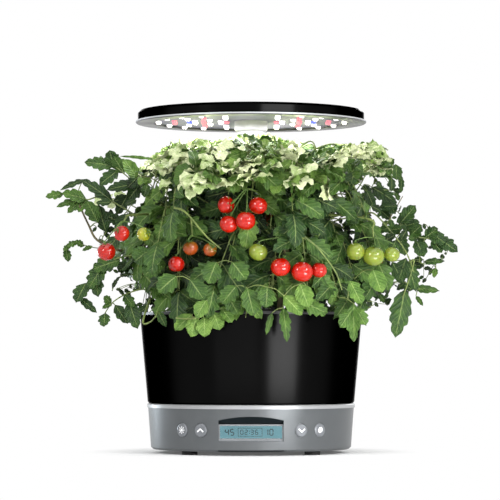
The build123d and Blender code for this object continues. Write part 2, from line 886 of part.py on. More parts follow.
def fruit(x, y, z, radius):
    """Eight-sided stand-in for one round fruit."""
    top = fruit_height * radius
    return Pos(x, y, z) * (tapered(radius, radius / 2, 0, top, 8) + tapered(radius / 2, radius, -top, 0, 8))


def compound_leaf(start, tip, crest, width_share):
    """Arching compound leaf from its stalk on the stem to its tip, as one bent plate."""
    span = Vector(tip.X - start.X, tip.Y - start.Y, 0)
    length = span.length
    profile = [
        (stem_radius * 0.6, start.Z), (0.42 * length, crest), (0.74 * length, 0.45 * tip.Z + 0.55 * crest),
        (length, tip.Z),
    ]
    under = [(u, z - leaf_thick) for u, z in reversed(profile)]
    half_width = width_share * length
    sheet = extrude(Plane.XZ * make_face(Polyline(*profile, *under, close=True)), half_width, both=True)
    half = [(u * length, v * half_width) for u, v in leaf_outline]
    upper = [(0, half[0][1])] + half
    lower = [(u, -v) for u, v in reversed(upper)]
    outline = make_face(Polyline(*upper, (length, 0), *lower, close=True))
    cutter = extrude(Pos(0, 0, -stem_top) * outline, 3 * stem_top)
    heading = math.degrees(math.atan2(span.Y, span.X))
    return Pos(start.X, start.Y, 0) * Rot(0, 0, heading) * (sheet & cutter)


def canopy():
    """All leaves, sorted by the plant that stands nearest to each tip."""
    leaves = {plant: [] for plant in plant_angles}
    for tier, (count, wide, deep, width_share, stalk, crest, end) in enumerate(leaf_tiers):
        for number in range(count):
            angle = 2 * math.pi * (number + 0.5) / count
            x = canopy_half_width * long_leaves.get((tier, number), wide) * math.cos(angle)
            y = canopy_half_depth * long_leaves.get((tier, number), deep) * math.sin(angle)
            plant = min(plant_angles, key=lambda name: (stem_place(name) - Vector(x, y, 0)).length)
            turned_by = (math.degrees(angle) - plant_angles[plant] + 180) % 360 - 180
            lift = leaf_stagger * (abs(turned_by) > 30) + leaf_layer * (turned_by > 0)
            start = stem_place(plant) + Vector(0, 0, stalk + lift)
            tip = Vector(x, y, end + lift)
            leaves[plant].append(compound_leaf(start, tip, crest + lift, width_share))
    return leaves


# ------------------------------------------------------------------ writing the nodes
def write_base():
    write("base_shell", base_shell())
    write("bottom_plate", bottom_plate())
    write("feet", *feet())
    write("base_screws", *base_screws())
    write("trim_ring", trim_ring())
    write("display_bezel", display_bezel())
    write("lcd_window", lcd_window())
    write("lcd_module", lcd_module())
    write("button_boards", *button_boards())
    for name, angle in button_angles.items():
        write(name + "_button", button(angle))
    write("main_board", main_board())
    write("power_jack", power_jack())
    write("supply_blades", *supply_blades())


def write_post_and_hood():
    write("post_outer", post_outer())
    write("post_lower_collar", collar(post_outer_radius, middle_radius, post_outer_top))
    write("post_middle", tube(middle_radius, middle_bore, post_middle_bottom, post_middle_top))
    write("post_upper_collar", collar(middle_radius, inner_radius, post_middle_top))
    write("post_inner", tube(inner_radius, inner_radius - post_inner_wall, post_inner_bottom, hub_top))
    write("hood_shell", hood_shell())
    write("hood_rim", hood_rim())
    write("led_board", led_board())
    write("heat_plate", heat_plate())
    for colour in ("white", "red", "blue"):
        write("leds_" + colour, *leds(colour))
    write("hub", hub())


def write_bowl_and_deck():
    write("bowl", bowl())
    write("bowl_contacts", *bowl_contacts())
    write("float", float_ring())
    write("float_clip", float_clip())
    write("pump_cover", pump_cover())
    write("pump_body", pump_body())
    write("pump_impeller", pump_impeller())
    write("pump_filter", pump_filter())
    write("riser_tube", riser_tube())
    write("deck", deck())
    write("fill_flap", fill_flap())
    for name, angle in cover_angles.items():
        write("hole_cover_" + name, hole_cover(angle))


def write_plants():
    leaves = canopy()
    for plant, angle in plant_angles.items():
        write("grow_basket_" + plant, grow_basket(angle))
        write("sponge_" + plant, sponge(angle))
        write("plant_stem_" + plant, plant_stem(plant))
        write("plant_leaves_" + plant, *leaves[plant])
        fruits = [fruit(*place) for _, _, group in trusses[plant] for place in group]
        write("tomatoes_" + plant, *fruits)


os.makedirs("parts", exist_ok=True)
write_base()
write_post_and_hood()
write_bowl_and_deck()
write_plants()
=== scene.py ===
import json
import math
import random

import bpy
import numpy as np
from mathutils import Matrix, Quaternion, Vector


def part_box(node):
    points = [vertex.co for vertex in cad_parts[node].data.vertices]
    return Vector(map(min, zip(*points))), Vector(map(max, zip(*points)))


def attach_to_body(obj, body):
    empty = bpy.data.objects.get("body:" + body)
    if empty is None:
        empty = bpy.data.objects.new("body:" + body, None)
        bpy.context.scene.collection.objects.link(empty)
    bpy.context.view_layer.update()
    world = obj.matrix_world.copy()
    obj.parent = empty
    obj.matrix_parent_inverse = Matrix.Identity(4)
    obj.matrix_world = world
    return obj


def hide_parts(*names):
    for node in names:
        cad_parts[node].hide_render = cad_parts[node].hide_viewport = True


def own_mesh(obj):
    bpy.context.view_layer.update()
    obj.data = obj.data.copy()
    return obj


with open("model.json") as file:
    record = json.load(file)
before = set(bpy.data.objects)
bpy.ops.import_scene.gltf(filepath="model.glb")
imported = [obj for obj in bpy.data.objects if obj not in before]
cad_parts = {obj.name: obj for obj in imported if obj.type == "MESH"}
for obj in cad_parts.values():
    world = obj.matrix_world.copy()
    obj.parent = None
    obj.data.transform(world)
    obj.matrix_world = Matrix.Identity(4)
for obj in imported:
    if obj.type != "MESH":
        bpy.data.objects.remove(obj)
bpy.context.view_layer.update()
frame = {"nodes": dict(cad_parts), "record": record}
nodes = frame["nodes"]
UP = Vector((0, 0, 1))


def put(name, data):
    """New object in the scene."""
    made = bpy.data.objects.new(name, data)
    bpy.context.scene.collection.objects.link(made)
    return made


# ---- camera
PICTURE = 500  # side of the photo, whose pixels the picture points below count
FOCAL = 2780.0  # pixels
SCALE = 0.8556  # pixels per mm at the post
DISTANCE = 3250.0  # mm from the post
EYE = 122.0  # mm above the floor
CENTRE_X = 251.0
HORIZON = 347.8
SENSOR = 36.0

camera_data = bpy.data.cameras.new("camera")
camera_data.sensor_width = SENSOR
camera_data.lens = FOCAL / PICTURE * SENSOR
camera_data.clip_end = 30
camera = put("camera", camera_data)
camera.location = ((PICTURE / 2 - CENTRE_X) / SCALE / 1000, -DISTANCE / 1000, EYE / 1000)
camera.rotation_euler = (math.pi / 2 + math.atan((HORIZON - PICTURE / 2) / FOCAL), 0, 0)
bpy.context.scene.camera = camera
bpy.context.scene.view_settings.view_transform = "Standard"


def place(x, y, front):
    """World point, in metres, seen at a picture point, at a distance in mm in front of the post."""
    k = (DISTANCE - front) / DISTANCE / SCALE
    return Vector(((x - CENTRE_X) * k, -front, EYE + (HORIZON - y) * k)) / 1000


def picture(points):
    """Picture points of an array of world points."""
    k = SCALE * DISTANCE / (DISTANCE + 1000 * points[..., 1])
    x = CENTRE_X + 1000 * points[..., 0] * k
    y = HORIZON + (EYE - 1000 * points[..., 2]) * k
    return np.stack([x, y], -1)


# ---- materials
LOOKS = {}  # finished materials by name


def linear(*colour):
    """Linear colour from 0-255 values."""
    out = []
    for c in colour:
        c = c / 255
        out.append(c / 12.92 if c <= 0.04045 else ((c + 0.055) / 1.055) ** 2.4)
    return tuple(out) + (1.0,)


def tinted(colour, factor):
    """Linear colour made lighter or darker."""
    return tuple(min(1.0, factor * c) for c in linear(*colour)[:3]) + (1.0,)


class Tree:
    """Short ways to build the nodes of a material or a world."""

    def __init__(self, owner):
        owner.use_nodes = True
        self.tree = owner.node_tree

    def feed(self, socket, value):
        """Link an output to a socket, or set the socket's value."""
        if isinstance(value, bpy.types.NodeSocket):
            self.tree.links.new(value, socket)
        else:
            socket.default_value = value

    def node(self, kind, inputs, **settings):
        """New node, its inputs fed by name or number."""
        made = self.tree.nodes.new(kind)
        for key, value in settings.items():
            setattr(made, key, value)
        for key, value in inputs.items():
            self.feed(made.inputs[key], value)
        return made

    def math(self, operation, *values, clamp=False):
        made = self.node("ShaderNodeMath", dict(enumerate(values)), operation=operation, use_clamp=clamp)
        return made.outputs[0]

    def span(self, source, a, b, low=0.3, high=0.7):
        """The source's range from low to high, mapped to the range from a to b."""
        inputs = {"Value": source, "From Min": low, "From Max": high, "To Min": a, "To Max": b}
        return self.node("ShaderNodeMapRange", inputs).outputs["Result"]

    def surface(self, output, factor, first, second):
        """Mix of two shaders on the surface of an output node."""
        mixed = self.node("ShaderNodeMixShader", {0: factor, 1: first.outputs[0], 2: second.outputs[0]})
        self.node(output, {"Surface": mixed.outputs[0]})


class Shade(Tree):
    """One Principled material."""

    def __init__(self, name):
        self.name = name
        self.material = bpy.data.materials.new(name)
        super().__init__(self.material)
        self.coords = self.node("ShaderNodeTexCoord", {}).outputs

    def split(self, kind):
        """The three parts of a texture coordinate."""
        return self.node("ShaderNodeSeparateXYZ", {0: self.coords[kind]}).outputs

    def tone(self):
        """The tone that Build keeps at each point."""
        return self.node("ShaderNodeAttribute", {}, attribute_name="tone").outputs["Fac"]

    def noise(self, scale, detail=4.0, stretch=None):
        vector = self.coords["Object"]
        if stretch:
            vector = self.node("ShaderNodeMapping", {"Vector": vector, "Scale": stretch}).outputs["Vector"]
        inputs = {"Vector": vector, "Scale": scale, "Detail": detail, "Roughness": 0.6}
        return self.node("ShaderNodeTexNoise", inputs).outputs["Fac"]

    def ramp(self, source, *stops):
        made = self.node("ShaderNodeValToRGB", {"Fac": source})
        elements = made.color_ramp.elements
        while len(elements) < len(stops):
            elements.new(0.5)
        for element, (where, colour) in zip(elements, stops):
            element.position = where
            element.color = colour
        return made.outputs["Color"]

    def patches(self, source, dark, light):
        """Soft patches of two colours, after a noise."""
        return self.ramp(source, (0.3, dark), (0.7, light))

    def mix(self, factor, a, b):
        return self.node("ShaderNodeMix", {0: factor, 6: a, 7: b}, data_type="RGBA").outputs[2]

    def radius(self, x, y):
        squares = self.math("ADD", self.math("POWER", x, 2.0), self.math("POWER", y, 2.0))
        return self.math("SQRT", squares)

    def bump(self, height, strength, distance, **after):
        """Bumps of a height; Normal=... puts them on top of earlier ones."""
        inputs = {"Height": height, "Strength": strength, "Distance": distance, **after}
        return self.node("ShaderNodeBump", inputs).outputs["Normal"]

    def grain(self, scale, strength, distance=0.0002, detail=2.0, stretch=None):
        """Bumps of a fine noise."""
        return self.bump(self.noise(scale, detail, stretch), strength, distance)

    def done(self, inputs):
        """Feed the Principled shader, and keep the material under its name."""
        shader = self.tree.nodes["Principled BSDF"]
        for key, value in inputs.items():
            self.feed(shader.inputs[key], value)
        LOOKS[self.name] = self.material


ROUGH_SPREAD = 0.08


def plain(name, colour, rough, spread=0.06, scale=40, metallic=0.0, grain=0.0, grain_scale=900,
          stretch=None, specular=0.5):
    """Finished plastic, paint, metal or foam: uneven tint, uneven roughness and fine grain."""
    s = Shade(name)
    tint = s.noise(scale, stretch=stretch)
    inputs = {
        "Base Color": s.patches(tint, tinted(colour, 1 - spread), tinted(colour, 1 + spread)),
        "Roughness": s.span(tint, rough - ROUGH_SPREAD, rough + ROUGH_SPREAD),
        "Metallic": metallic,
        "Specular IOR Level": specular,
    }
    if grain:
        inputs["Normal"] = s.grain(grain_scale, grain, detail=3.0, stretch=stretch)
    s.done(inputs)


def glowing(name, colour, strength):
    """Lit plastic lens with slightly darker patches."""
    s = Shade(name)
    s.done({
        "Base Color": s.patches(s.noise(900, 2.0), tinted(colour, 0.85), linear(*colour)),
        "Roughness": 0.3,
        "Emission Color": linear(*colour),
        "Emission Strength": strength,
    })


def gloss_black(name, level, rough):
    """Deep gloss black moulding with faint orange peel and handling haze."""
    s = Shade(name)
    haze = s.noise(9, 5.0)
    black = (level, level, level)
    s.done({
        "Base Color": s.ramp(haze, (0.35, linear(*black)), (0.7, tinted(black, 1.25))),
        "Roughness": s.span(haze, rough, rough + 0.04, 0.35, 0.75),
        "Metallic": 1.0,
        "Specular Tint": (0.03, 0.03, 0.03, 1),
        "Normal": s.grain(140, 0.04, 0.0004),
    })


def clear(name):
    """Clear display pane with faint smears."""
    s = Shade(name)
    s.done({
        "Base Color": (1, 1, 1, 1),
        "Roughness": s.span(s.noise(60, 3.0), 0.02, 0.07),
        "Transmission Weight": 1.0,
        "IOR": 1.45,
    })


def lcd(name):
    """Backlit display panel, unevenly lit."""
    s = Shade(name)
    glow = s.patches(s.noise(25, 2.0, (1, 1, 3)), linear(100, 146, 154), linear(116, 162, 170))
    s.done({"Base Color": glow, "Emission Color": glow, "Emission Strength": 0.62, "Roughness": 0.35})


# heights of the silver trims and radius of the hood's inner edge, in m
HOOD_ABOVE, BEZEL_TOP, RIM_INNER = 0.2, 0.052, 0.1146


def rim_silver(name):
    """Silver trim, greyer on the base and bezel; painted shade underneath and on the hood's inside edge."""
    s = Shade(name)
    tint = s.noise(25)
    x, y, z = s.split("Object")
    skin = s.patches(tint, linear(178, 180, 183), linear(186, 188, 191))
    skin = s.mix(s.math("LESS_THAN", z, HOOD_ABOVE), skin, linear(147, 148, 150))
    skin = s.mix(s.math("LESS_THAN", z, BEZEL_TOP), skin, linear(118, 121, 124))
    # painted shade on the surfaces that face downward
    skin = s.mix(s.span(s.split("Normal")[2], 1.0, 0.0, -0.6, -0.4), skin, linear(84, 81, 92))
    # painted shade on the inside edge of the hood's rim
    inner_edge_shade = s.math("LESS_THAN", s.radius(x, y), RIM_INNER)
    inner_edge_shade = s.math("MULTIPLY", inner_edge_shade, s.math("GREATER_THAN", z, HOOD_ABOVE))
    s.done({
        "Base Color": s.mix(inner_edge_shade, skin, linear(70, 69, 72)),
        "Roughness": s.span(tint, 0.28, 0.4),
        "Metallic": 0.25,
        "Normal": s.grain(2500, 0.05, detail=3.0),
    })


# the display pocket: half its width, then slope and foot of the radius just behind the base's face, in m
POCKET_HALF, FACE_SLOPE, FACE_FOOT = 0.0372, 0.0725, 0.11557


def housing_paint(name):
    """Grey metallic paint of the base, with painted shade inside the display recess."""
    s = Shade(name)
    tint = s.noise(30)
    x, y, z = s.split("Object")
    # mask of the display recess, where the paint is darkened as painted shade
    pocket_shade = s.math("MULTIPLY", s.math("LESS_THAN", s.math("ABSOLUTE", x), POCKET_HALF),
                    s.math("LESS_THAN", y, 0.0))
    face = s.math("MULTIPLY_ADD", z, FACE_SLOPE, FACE_FOOT)
    pocket_shade = s.math("MULTIPLY", pocket_shade, s.math("LESS_THAN", s.radius(x, y), face))
    skin = s.patches(tint, linear(89, 92, 94), linear(95, 98, 100))
    s.done({
        "Base Color": s.mix(pocket_shade, skin, linear(34, 38, 41)),
        "Roughness": s.span(tint, 0.32, 0.4),
        "Metallic": 0.55,
        "Specular IOR Level": 0.3,
        "Normal": s.grain(2500, 0.1, detail=3.0),
    })


def leaf(name):
    """Tomato leaf: pale midrib and side veins, quilted blade, green after a tone that paints light and shade.
    """
    s = Shade(name)
    along, across, _ = s.split("UV")
    side = s.math("ABSOLUTE", s.math("SUBTRACT", across, 0.5))
    mottle = s.noise(120, 5.0)
    # high tones are pale with painted light of the hood lamp, low tones dark with painted shade inside the
    # foliage
    blade = s.ramp(
        s.math("ADD", s.tone(), s.span(mottle, -0.12, 0.12), clamp=True),
        (0.0, linear(15, 30, 12)), (0.25, linear(35, 61, 24)), (0.5, linear(70, 101, 38)),
        (0.75, linear(118, 148, 68)), (1.0, linear(224, 230, 186)))
    ribs = s.math("SUBTRACT", s.math("MULTIPLY", along, 7.0), s.math("MULTIPLY", side, 3.0))
    rib_edge = s.math("ABSOLUTE", s.math("SUBTRACT", s.math("FRACT", ribs), 0.5))
    side_vein = s.span(rib_edge, 1.0, 0.0, 0.0, 0.09)
    midrib = s.span(side, 1.0, 0.0, 0.012, 0.05)
    vein = s.math("MAXIMUM", midrib, s.math("MULTIPLY", side_vein, 0.45))
    pale = s.mix(0.55, blade, linear(176, 196, 124))
    quilt = s.math("SUBTRACT", s.math("MULTIPLY", rib_edge, 1.4), s.math("MULTIPLY", midrib, 0.8))
    s.done({
        "Base Color": s.mix(s.math("MULTIPLY", vein, 0.55), blade, pale),
        "Roughness": s.span(mottle, 0.42, 0.6),
        "Specular IOR Level": 0.22,
        "Normal": s.bump(s.noise(500, 3.0), 0.35, 0.0006, Normal=s.bump(quilt, 0.6, 0.0012)),
    })


def tomato(name, top, bottom, spots):
    """Waxy fruit skin, its shoulders another colour than its sides."""
    s = Shade(name)
    mottle = s.noise(60)
    tone = s.math("ADD", s.tone(), s.span(mottle, -0.1, 0.1), clamp=True)
    skin = s.ramp(tone, (0.0, linear(*bottom)), (1.0, linear(*top)))
    speck = s.ramp(s.noise(700, 1.0), (0.66, (0, 0, 0, 1)), (0.72, (1, 1, 1, 1)))
    s.done({
        "Base Color": s.mix(s.math("MULTIPLY", speck, 0.12), skin, linear(*spots)),
        "Roughness": s.span(mottle, 0.14, 0.24),
        "Specular IOR Level": 0.1,
        "Coat Weight": 0.9,
        "Coat Roughness": 0.03,
        "Subsurface Weight": 0.12,
        "Subsurface Scale": 0.004,
        "Normal": s.grain(260, 0.015, 0.0003),
    })


def stem_skin(name, light, dark):
    """Green to woody stem with long streaks and fine hairs."""
    s = Shade(name)
    streak = s.noise(160, stretch=(1, 1, 0.25))
    s.done({
        "Base Color": s.patches(streak, linear(*dark), linear(*light)),
        "Roughness": s.span(streak, 0.5, 0.7),
        "Normal": s.grain(1500, 0.4, 0.0004),
    })


# looks of the solids, one for each of their material slots
housing_paint("base_paint")
plain("dark_plastic", (30, 30, 31), 0.55, grain=0.25)
plain("rubber_feet", (20, 20, 20), 0.8, grain=0.4, grain_scale=600)
plain("screw_steel", (160, 160, 160), 0.35, metallic=1.0)
rim_silver("bright_trim")
clear("clear_window")
lcd("lcd_panel")
plain("circuit_board", (24, 92, 56), 0.45, 0.2, 300)
plain("button_grey", (112, 115, 119), 0.36, 0.04, 60, 0.3, grain=0.08, grain_scale=2500, specular=0.3)
plain("contact_brass", (200, 160, 90), 0.3, metallic=1.0)
plain("post_metal", (176, 178, 182), 0.32, 0.05, 60, metallic=0.9, stretch=(1, 1, 0.05))
gloss_black("hood_black", 16, 0.12)
# the LED board's colour is tinted violet to offset the green light that the leaves throw onto it
plain("led_board", (120, 113, 150), 0.5, 0.05, 80, grain=0.1, specular=0.2)
plain("heat_aluminium", (190, 190, 194), 0.4, metallic=0.9)
glowing("led_white", (255, 250, 250), 1.6)
glowing("led_red", (230, 124, 146), 0.85)
glowing("led_blue", (98, 108, 222), 1.0)
plain("hub_white", (202, 198, 210), 0.4, 0.03, 60, grain=0.05, specular=0.3)
gloss_black("bowl_black", 15, 0.2)
plain("float_white", (226, 226, 220), 0.5, grain=0.1)
plain("filter_foam", (34, 34, 36), 0.95, 0.3, 500, grain=0.9, grain_scale=700)
plain("deck_black", (24, 24, 24), 0.42, grain=0.3, grain_scale=1400)
plain("basket_grey", (196, 196, 192), 0.5, grain=0.15)
plain("sponge_brown", (74, 50, 32), 0.95, 0.35, 260, grain=1.0, grain_scale=500)
stem_skin("stem_green", (122, 138, 70), (70, 84, 40))
leaf("leaf_green")
tomato("tomato_red", (156, 12, 3), (172, 20, 5), (236, 120, 80))
for part in frame["record"]["subparts"]:
    shown = nodes[part["node"]].data.materials
    shown.clear()
    shown.append(LOOKS[part["material_slot"]])

# further looks of the pieces made here
stem_skin("stem_woody", (112, 104, 66), (58, 52, 32))
stem_skin("calyx_green", (96, 124, 52), (56, 86, 32))
tomato("tomato_orange", (112, 84, 22), (150, 66, 18), (230, 170, 110))
tomato("tomato_green", (92, 112, 32), (120, 134, 44), (190, 200, 130))
tomato("tomato_yellow", (116, 130, 24), (152, 150, 34), (220, 220, 120))
plain("icon_white", (240, 241, 243), 0.4, 0.02, 200)
plain("digit_dark", (24, 44, 50), 0.5, 0.1, 300)


# ---- mesh building
def finished(name, mesh, look, body):
    """Piece of a mesh, riding on a body."""
    mesh.materials.append(LOOKS[look])
    piece = put(name, mesh)
    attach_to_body(piece, body)
    return piece


class Build:
    """Collects faces with a UV and a tone at each point, and makes one piece of them."""

    def __init__(self, name, look):
        self.name = name
        self.look = look
        self.points, self.faces, self.uvs, self.tones = [], [], [], []
        self.count = 0

    def grid(self, points, uv, tone, closed=False):
        """Rows and columns of points; closed joins the last column to the first."""
        rows, columns = points.shape[:2]
        index = self.count + np.arange(rows * columns).reshape(rows, columns)
        right = np.roll(index, -1, axis=1) if closed else index[:, 1:]
        left = index if closed else index[:, :-1]
        quads = np.stack([left[:-1], right[:-1], right[1:], left[1:]], -1).reshape(-1, 4)
        self.points.append(points.reshape(-1, 3))
        self.uvs.append(np.stack(np.broadcast_arrays(*uv), -1).reshape(-1, 2))
        self.tones.append(np.broadcast_to(tone, (rows, columns)).reshape(-1))
        self.faces.append(quads)
        self.count += rows * columns

    def tube(self, path, radius_start, radius_end, sides):
        """Round limb along a list of points."""
        rows = len(path)
        ring = np.zeros((rows, sides, 3))
        normal = (path[1] - path[0]).normalized().orthogonal().normalized()
        for i, p in enumerate(path):
            tangent = (path[min(i + 1, rows - 1)] - path[max(i - 1, 0)]).normalized()
            normal = (normal - tangent * normal.dot(tangent)).normalized()
            other = tangent.cross(normal)
            radius = radius_start + (radius_end - radius_start) * i / (rows - 1)
            for j in range(sides):
                angle = 2 * math.pi * j / sides
                ring[i, j] = p + radius * (math.cos(angle) * normal + math.sin(angle) * other)
        uv = np.linspace(0, 1, rows)[:, None], np.linspace(0, 1, sides)[None, :]
        self.grid(ring, uv, 0.5, closed=True)

    def make(self, body, slot):
        """The finished piece, riding on a body."""
        mesh = bpy.data.meshes.new(self.name)
        faces = np.concatenate(self.faces)
        mesh.from_pydata(np.concatenate(self.points), [], faces, shade_flat=False)
        layer = mesh.uv_layers.new(name="blade")
        layer.data.foreach_set("uv", np.concatenate(self.uvs)[faces.ravel()].astype(np.float32).ravel())
        attribute = mesh.attributes.new("tone", "FLOAT", "POINT")
        attribute.data.foreach_set("value", np.concatenate(self.tones).astype(np.float32))
        mesh.validate()
        return finished(self.name, mesh, self.look, body)


def smooth_path(points, steps=5):
    """Catmull-Rom curve through points."""
    ends = [2 * points[0] - points[1]] + points + [2 * points[-1] - points[-2]]
    out = []
    for a, b, c, d in zip(ends, ends[1:], ends[2:], ends[3:]):
        for i in range(steps):
            t = i / steps
            out.append(0.5 * ((2 * b) + (c - a) * t + (2 * a - 5 * b + 4 * c - d) * t * t
                              + (3 * b - a - 3 * c + d) * t ** 3))
    out.append(points[-1])
    return out


def leaflet(base, tip, facing, width, tone, rng, teeth, depth, droop, fold, wave=0.08):
    """Grid of one toothed leaflet from its base to its tip, its upper side facing along facing."""
    axis = tip - base
    length = axis.length
    axis.normalize()
    up = facing - axis * facing.dot(axis)
    if up.length < 1e-4:
        up = axis.orthogonal()
    up.normalize()
    side = up.cross(axis)
    rows = 3 * teeth + 2
    u = np.linspace(0, 1, rows)
    envelope = np.sin(np.pi * u ** 0.7) ** 0.75
    jag = np.array([1 - depth * (0.7 + 0.6 * rng.random()) * (1.0, 0.35, 0.0)[i % 3] for i in range(rows)])
    half = 0.5 * width * envelope * jag
    half[0] = 0.04 * width
    half[-1] = 0.0
    v = np.array([-1.0, -0.5, 0.0, 0.5, 1.0])
    theta = droop * (1 - 2 * u)
    step = length / (rows - 1)
    cx = np.concatenate([[0], np.cumsum(np.cos((theta[1:] + theta[:-1]) / 2) * step)])
    cz = np.concatenate([[0], np.cumsum(np.sin((theta[1:] + theta[:-1]) / 2) * step)])
    stretch = length / max(1e-6, cx[-1])
    cx, cz = cx * stretch, cz * stretch
    spread = np.abs(v)[None, :]
    y = half[:, None] * v[None, :]
    forward = 0.32 * spread * half[:, None]
    phase = rng.random() * 6.28
    z = fold * np.abs(y) * (1 if rng.random() < 0.8 else -0.5)
    ripple = np.sin(2 * math.pi * (2.2 * u[:, None] + 0.3 * np.sign(v)[None, :]) + phase)
    z = z + wave * width * spread ** 1.5 * ripple
    turn = (rng.random() - 0.5) * 0.7 * u[:, None]
    y, z = y * np.cos(turn) - z * np.sin(turn), y * np.sin(turn) + z * np.cos(turn)
    x = cx[:, None] + forward * np.cos(theta)[:, None]
    h = cz[:, None] + z
    a, s, n = (np.array(vec) for vec in (axis, side, up))
    points = np.array(base) + x[..., None] * a + y[..., None] * s + h[..., None] * n
    return points, (u[:, None], 0.5 + 0.5 * v[None, :]), tone


# ---- where the foliage may show
OUTLINE = np.array([
    (146, 324), (132, 312), (122, 296), (112, 288), (100, 276), (104, 262), (100, 248), (94, 236),
    (88, 222), (86, 208), (92, 198), (100, 190), (112, 184), (122, 176), (134, 168), (146, 158), (154, 153),
    (162, 147), (171, 142), (186, 140), (200, 137), (212, 138), (226, 137), (240, 132), (262, 132),
    (282, 137), (302, 139), (316, 145), (336, 142), (352, 142), (372, 139), (386, 145), (396, 158),
    (400, 172), (403, 188), (400, 200), (404, 212), (416, 220), (434, 228), (446, 240), (450, 252),
    (442, 262), (436, 272), (424, 284), (412, 296), (396, 305), (370, 308), (362, 322), (346, 322),
    (304, 321), (286, 320), (262, 322), (244, 322), (232, 328), (206, 334), (188, 334), (172, 324),
    (160, 320),
], float)
# places where the background shows through, as picture points: centre and half sizes
GAPS = np.array([
    (141, 200, 3.5, 3.5), (127, 190, 6, 2.5), (156, 181, 4, 5), (169, 193, 3.5, 3), (93, 223, 3.5, 4),
    (103, 225, 2.5, 3), (100, 234, 3, 5), (124, 172, 4, 3), (132, 208, 4, 2), (129, 218, 3, 1.5),
    (113, 244, 4.5, 3), (111, 281, 9, 11), (124, 284, 6, 5), (139, 297, 9, 4), (111, 308, 3.5, 8),
    (342, 195, 2.5, 3), (368, 181, 5, 4), (359, 187, 2.5, 3), (385, 181, 3, 3.5), (385, 200, 9, 4),
    (395, 172, 2.5, 3), (336, 218, 2.5, 5), (380, 221, 3.5, 3.5), (372, 212, 2, 1.5), (398, 221, 4, 2.5),
    (414, 248, 5, 2), (426, 244, 4, 3), (437, 254, 4.5, 3), (354, 236, 3, 1.5), (413, 257, 2.5, 2.5),
    (429, 257, 3, 3.5), (393, 294, 4, 6), (390, 259, 2, 1.5), (423, 272, 3, 3.5),
], float)
GAP_SHARE = 0.85  # share of a gap that stays free


def in_gap(points):
    """Which picture points lie in a place where the background shows through."""
    away = (points[:, None, :] - GAPS[None, :, :2]) / (GAP_SHARE * GAPS[None, :, 2:])
    return ((away ** 2).sum(-1) < 1).any(1)


def inside(points):
    """Which picture points lie inside the outline."""
    x, y = points[:, 0], points[:, 1]
    found = np.zeros(len(points), bool)
    for (x1, y1), (x2, y2) in zip(OUTLINE, np.roll(OUTLINE, -1, axis=0)):
        crosses = (y1 > y) != (y2 > y)
        found ^= crosses & (x < (x2 - x1) * (y - y1) / (y2 - y1 + 1e-9) + x1)
    return found


# fruits: place and radius in mm, colour, and which way the calyx faces (x, y, z)
FRUITS = {
    "left": [
        (-164, -98, 231, 10.7, "red", (-0.1, -0.3, 1)), (-146, -114, 251, 9.0, "red", (-0.5, -0.6, 0.6)),
        (-121, -118, 250, 7.9, "yellow", (0.8, -0.6, 0.3)), (-84, -130, 216, 9.4, "red", (0.1, 0.2, 1)),
        (-68, -132, 234, 8.6, "orange", (-0.2, -0.3, 1)), (-46, -134, 232, 7.8, "orange", (0.5, -0.8, 0.4)),
    ],
    "front": [
        (-28, -140, 282, 9.9, "red", (0.7, -0.6, 0.2)), (-25, -146, 260, 10.2, "red", (0.3, 0.2, 1)),
        (-6, -154, 263.5, 11.0, "red", (0.1, 0.1, 1)), (8, -142, 281, 10.4, "red", (0.2, 0.2, 1)),
        (33, -152, 212, 11.2, "red", (-0.1, 0.1, 1)), (57, -148, 207, 12.3, "red", (0.1, 0.1, 1)),
        (76, -140, 209, 9.0, "red", (0.3, 0.2, 1)), (8, -146, 229, 10.6, "green", (0.2, -0.1, 1)),
        (118, -108, 231, 10.6, "green", (0, 0.2, 1)), (139, -104, 226, 12.3, "green", (0.1, -0.2, 1)),
        (160, -98, 228, 9.0, "green", (0.3, 0.2, 1)),
    ],
    "rear": [
        (-12, 142, 272, 11.0, "red", (0, 0, 1)), (12, 148, 268, 11.8, "red", (0, 0, 1)),
        (26, 138, 280, 9.6, "orange", (0, 0, 1)), (98, 126, 220, 11.0, "red", (0, 0, 1)),
        (120, 120, 214, 12.0, "green", (0, 0, 1)),
    ],
}
TRUSSES = {
    "left": [(265, (-138, -104, 272), 3), (268, (-68, -118, 268), 3)],
    "front": [(276, (-4, -140, 300), 4), (240, (44, -140, 252), 4), (268, (136, -104, 267), 3)],
    "rear": [(284, (6, 138, 296), 3), (268, (112, 118, 267), 2)],
}
seen_fruits = []  # picture point, radius in pixels and depth of the fruits that show
for x, y, z, radius, *_ in FRUITS["left"] + FRUITS["front"]:
    centre = picture(np.array([[x, y, z]]) / 1000)[0]
    seen_fruits.append((centre, radius * SCALE * 1.04 + 1.0, y / 1000))


def around(angle, radius, level):
    """Coordinates at an angle and a radius round the post."""
    return radius * math.cos(angle), radius * math.sin(angle), level


# places kept free for the lifting hole covers and for the flap's swing, and limits of depth and height
POD_CIRCLE = 0.078
COVERS = [around(math.radians(a), POD_CIRCLE, 0.188) for a in (0, 120, 240)]
COVER_ROOM = 0.0245
HINGE_Y, HINGE_Z, FLAP_ROOM = -0.089, 0.1651, 0.034
FLAP_HALF, FLAP_BACK = 0.030, -0.079
FRONT_LIMIT, REAR_LIMIT, TOP_LIMIT = -0.181, 0.176, 0.3815


def kept_free(points):
    """Height below which each point would meet a lifting hole cover or the swinging flap, else 0."""
    x, y = points[..., 0], points[..., 1]
    level = np.zeros(x.shape)
    for cover_x, cover_y, top in COVERS:
        level[np.hypot(x - cover_x, y - cover_y) < COVER_ROOM] = top
    swing = HINGE_Z + np.sqrt(np.clip(FLAP_ROOM ** 2 - (y - HINGE_Y) ** 2, 0, None))
    under = (abs(x) < FLAP_HALF) & (y < FLAP_BACK) & (y > HINGE_Y - FLAP_ROOM)
    return np.where(under, np.maximum(level, swing), level)


